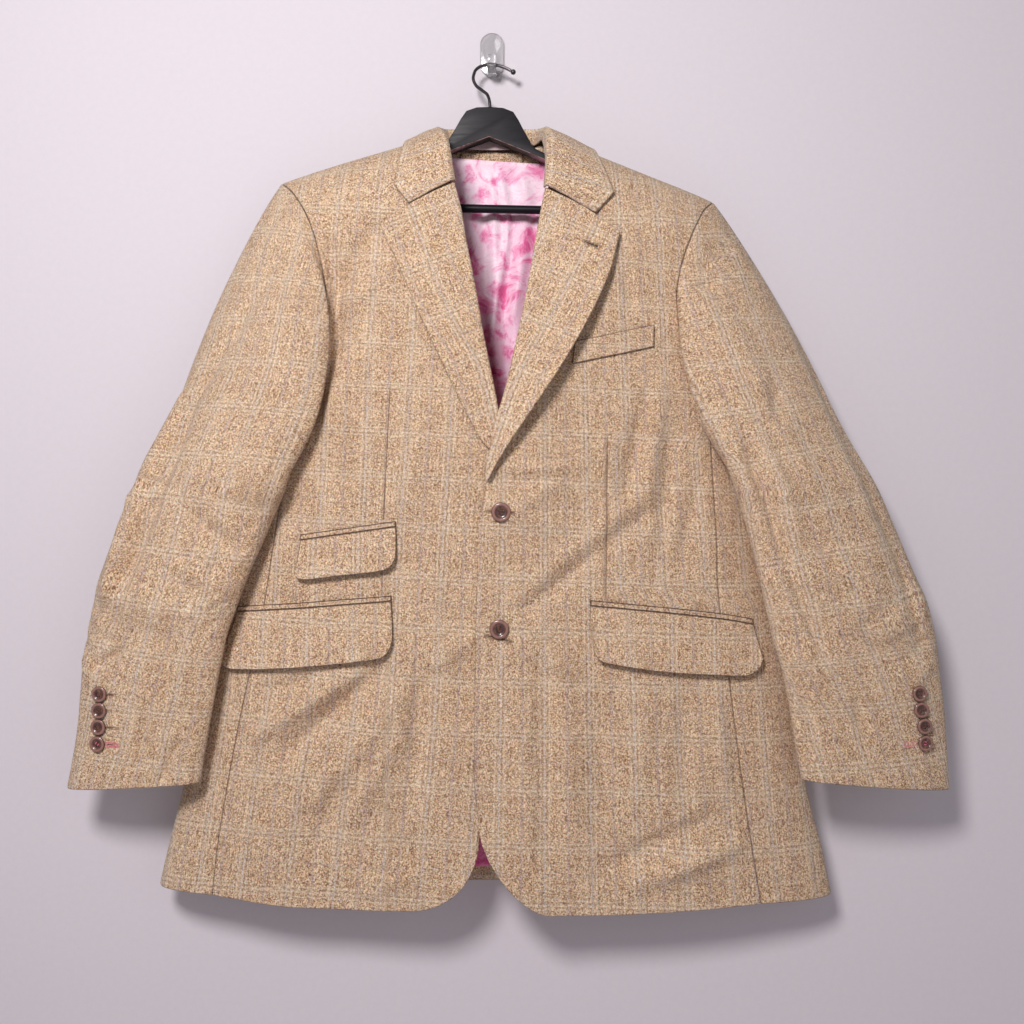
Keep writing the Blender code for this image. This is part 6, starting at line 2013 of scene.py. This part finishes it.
def lapelTop(side):
    # Outside of a lapel at a place of the front plane.
    lines = lapelSides[side]
    last = len(lapelEdges[side]) - 1

    def surface(x, z):
        best = None
        for at in np.linspace(0, last, 140):
            fold = Vector((lines["foldX"](at), lines["foldZ"](at)))
            edge = Vector((lines["edgeX"](at), lines["edgeZ"](at)))
            t = (Vector((x, z)) - fold).dot(edge - fold) / (edge - fold).length_squared
            gap = (fold.lerp(edge, t) - Vector((x, z))).length
            if best is None or gap < best[0]:
                best = (gap, at, t)
        _, at, t = best
        point, normal = onFront(x, z, 0.0, side)
        lift = lapelLift + lapelCloth + 0.6 * (1 - t) + lines["stand"](at) * t ** 1.5
        return point + normal * (overlapLift(side, x, z) + lift), normal
    return surface


def slitPiece(name, start, end, surface, look, width, eye=0.0):
    # The dark opening of a buttonhole: a thin flat lozenge just on the cloth, a dark sheet painted as the shade
    # inside the cut.
    build = bmesh.new()
    run = end - start
    way = run.normalized()
    side = Vector((-way.y, way.x))
    steps = 14
    top, low = [], []
    for t in (k / steps for k in range(steps + 1)):
        grow = width * math.sin(math.pi * min(max(t, 0.02), 0.98)) ** 0.4
        grow += eyeAt(t * run.length, run.length, eye)
        for flip, line in ((1, top), (-1, low)):
            flat = start + run * t + side * flip * grow
            point, normal = surface(flat.x, flat.y)
            line.append([build.verts.new((point + normal * lift) * mm) for lift in (0.14, -0.5)])
    ring = top + low[::-1]
    for (a, b), (c, d) in zip(ring, ring[1:] + ring[:1]):
        build.faces.new((a, b, d, c))
    for k in range(steps):
        build.faces.new((top[k][0], top[k + 1][0], low[k + 1][0], low[k][0]))
        build.faces.new((top[k][1], low[k][1], low[k + 1][1], top[k + 1][1]))
    bmesh.ops.recalc_face_normals(build, faces=build.faces)
    return plainPiece(name, meshOf(build, name), look, "tweed")


def buttonholePieces(looks):
    tree = stitchTree("buttonholeStitches")
    step, gap = holeLook["step"], holeLook["slit"] + 0.75
    holes = [("lapel", lapelTop(1), Vector((94.3, -229.3)), Vector((108.5, -235.4)), 0.9, "holeThread")]
    for number, (x, z) in enumerate(frontButtons, 1):
        holes.append(("front_%d" % number, frontTop(1), Vector((x - 14, z + 0.6 - 7 * (number == 2))),
                      Vector((x + 12, z - 0.5 - 12 * (number == 2))), 0.0, "holeThread"))
    for name, surface, start, end, eye, thread in holes:
        sewStitches("buttonhole_" + name, tree, holeSpots(start, end, surface, step, gap, eye), looks[thread],
                    holeLook["stitchLength"], holeLook["stitchWidth"])
        slitPiece("slit_" + name, start, end, surface, looks["slit"], holeLook["slit"], eye)
    for side, places in cuffButtons.items():
        who = whose[side]
        spots = []
        for number, (x, z) in enumerate(places, 1):
            surface = lambda a, b: sleeveTop(side, a, b)
            last = number == len(places)
            start = Vector((side * (x - 8.6), z - 0.3))
            end = Vector((side * (x - 20.0), z - 0.9))
            made = holeSpots(start, end, surface, step, 1.7 if last else 0.9)
            if last:
                sewStitches("buttonhole_cuff_%s_last" % who, tree, made, looks["pinkThread"], 2.7, 0.5)
            else:
                spots += made
            short = start.lerp(end, 0.7 if last else 0.5)
            slitPiece("slit_cuff_%s_%d" % (who, number), start, short, surface, looks["slit"], 0.4)
        sewStitches("buttonholes_cuff_" + who, tree, spots, looks["holeThread"], 1.5, 0.42)


def sleeveTop(side, x, z):
    point, normal = sleeveSurface(side, side * x, z)
    return point + normal * 0.35, normal


# All pieces
def main():
    placeCamera()
    looks = allLooks()
    print("finishes made")
    for side in (-1, 1):
        frontPiece(side, looks["frontRight" if side < 0 else "frontLeft"])
        sidePiece(side, looks["tweed"])
        backPiece(side, looks["tweed"])
        lapelPiece(side, looks["tweed"])
        sleevePieces(side, looks["tweed"])
    print("body, lapels and sleeves made")
    collarRows = collarPiece(looks["tweed"])
    neckBandPiece(collarRows, looks["band"])
    pocketPieces(looks["flap"], looks["jet"])
    insidePieces(looks["tweed"], looks["lining"])
    print("collar, pockets and lining made")
    markPaleEdge(hangerPieces(looks))
    buttonPieces(looks)
    buttonholePieces(looks)
    print("hanger, buttons and buttonholes made")
    studio()


def markPaleEdge(hanger):
    # A pale pinkish line along the yoke's lower front edge.
    low = tilted([(-80, -140), (-64, -129), (-42, -120), (-20, -111.6), (0, -104), (20, -111.6), (42, -120),
                  (64, -129), (80, -140)], hangerLook["lean"])
    edge = Line([p[0] for p in low], [p[1] for p in low])
    layer = hanger.data.attributes.new("paleEdgeLine", "FLOAT", "POINT")
    front = hangerLook["y"] - hangerLook["thickness"] / 2
    values = []
    for vert in hanger.data.vertices:
        x, y, z = (c / mm for c in vert.co)
        near = abs(x) < 78 and 0.15 < y - front < 1.9 and 0.0 < z - edge(x) < 2.2
        values.append(float(near))
    layer.data.foreach_set("value", values)


main()
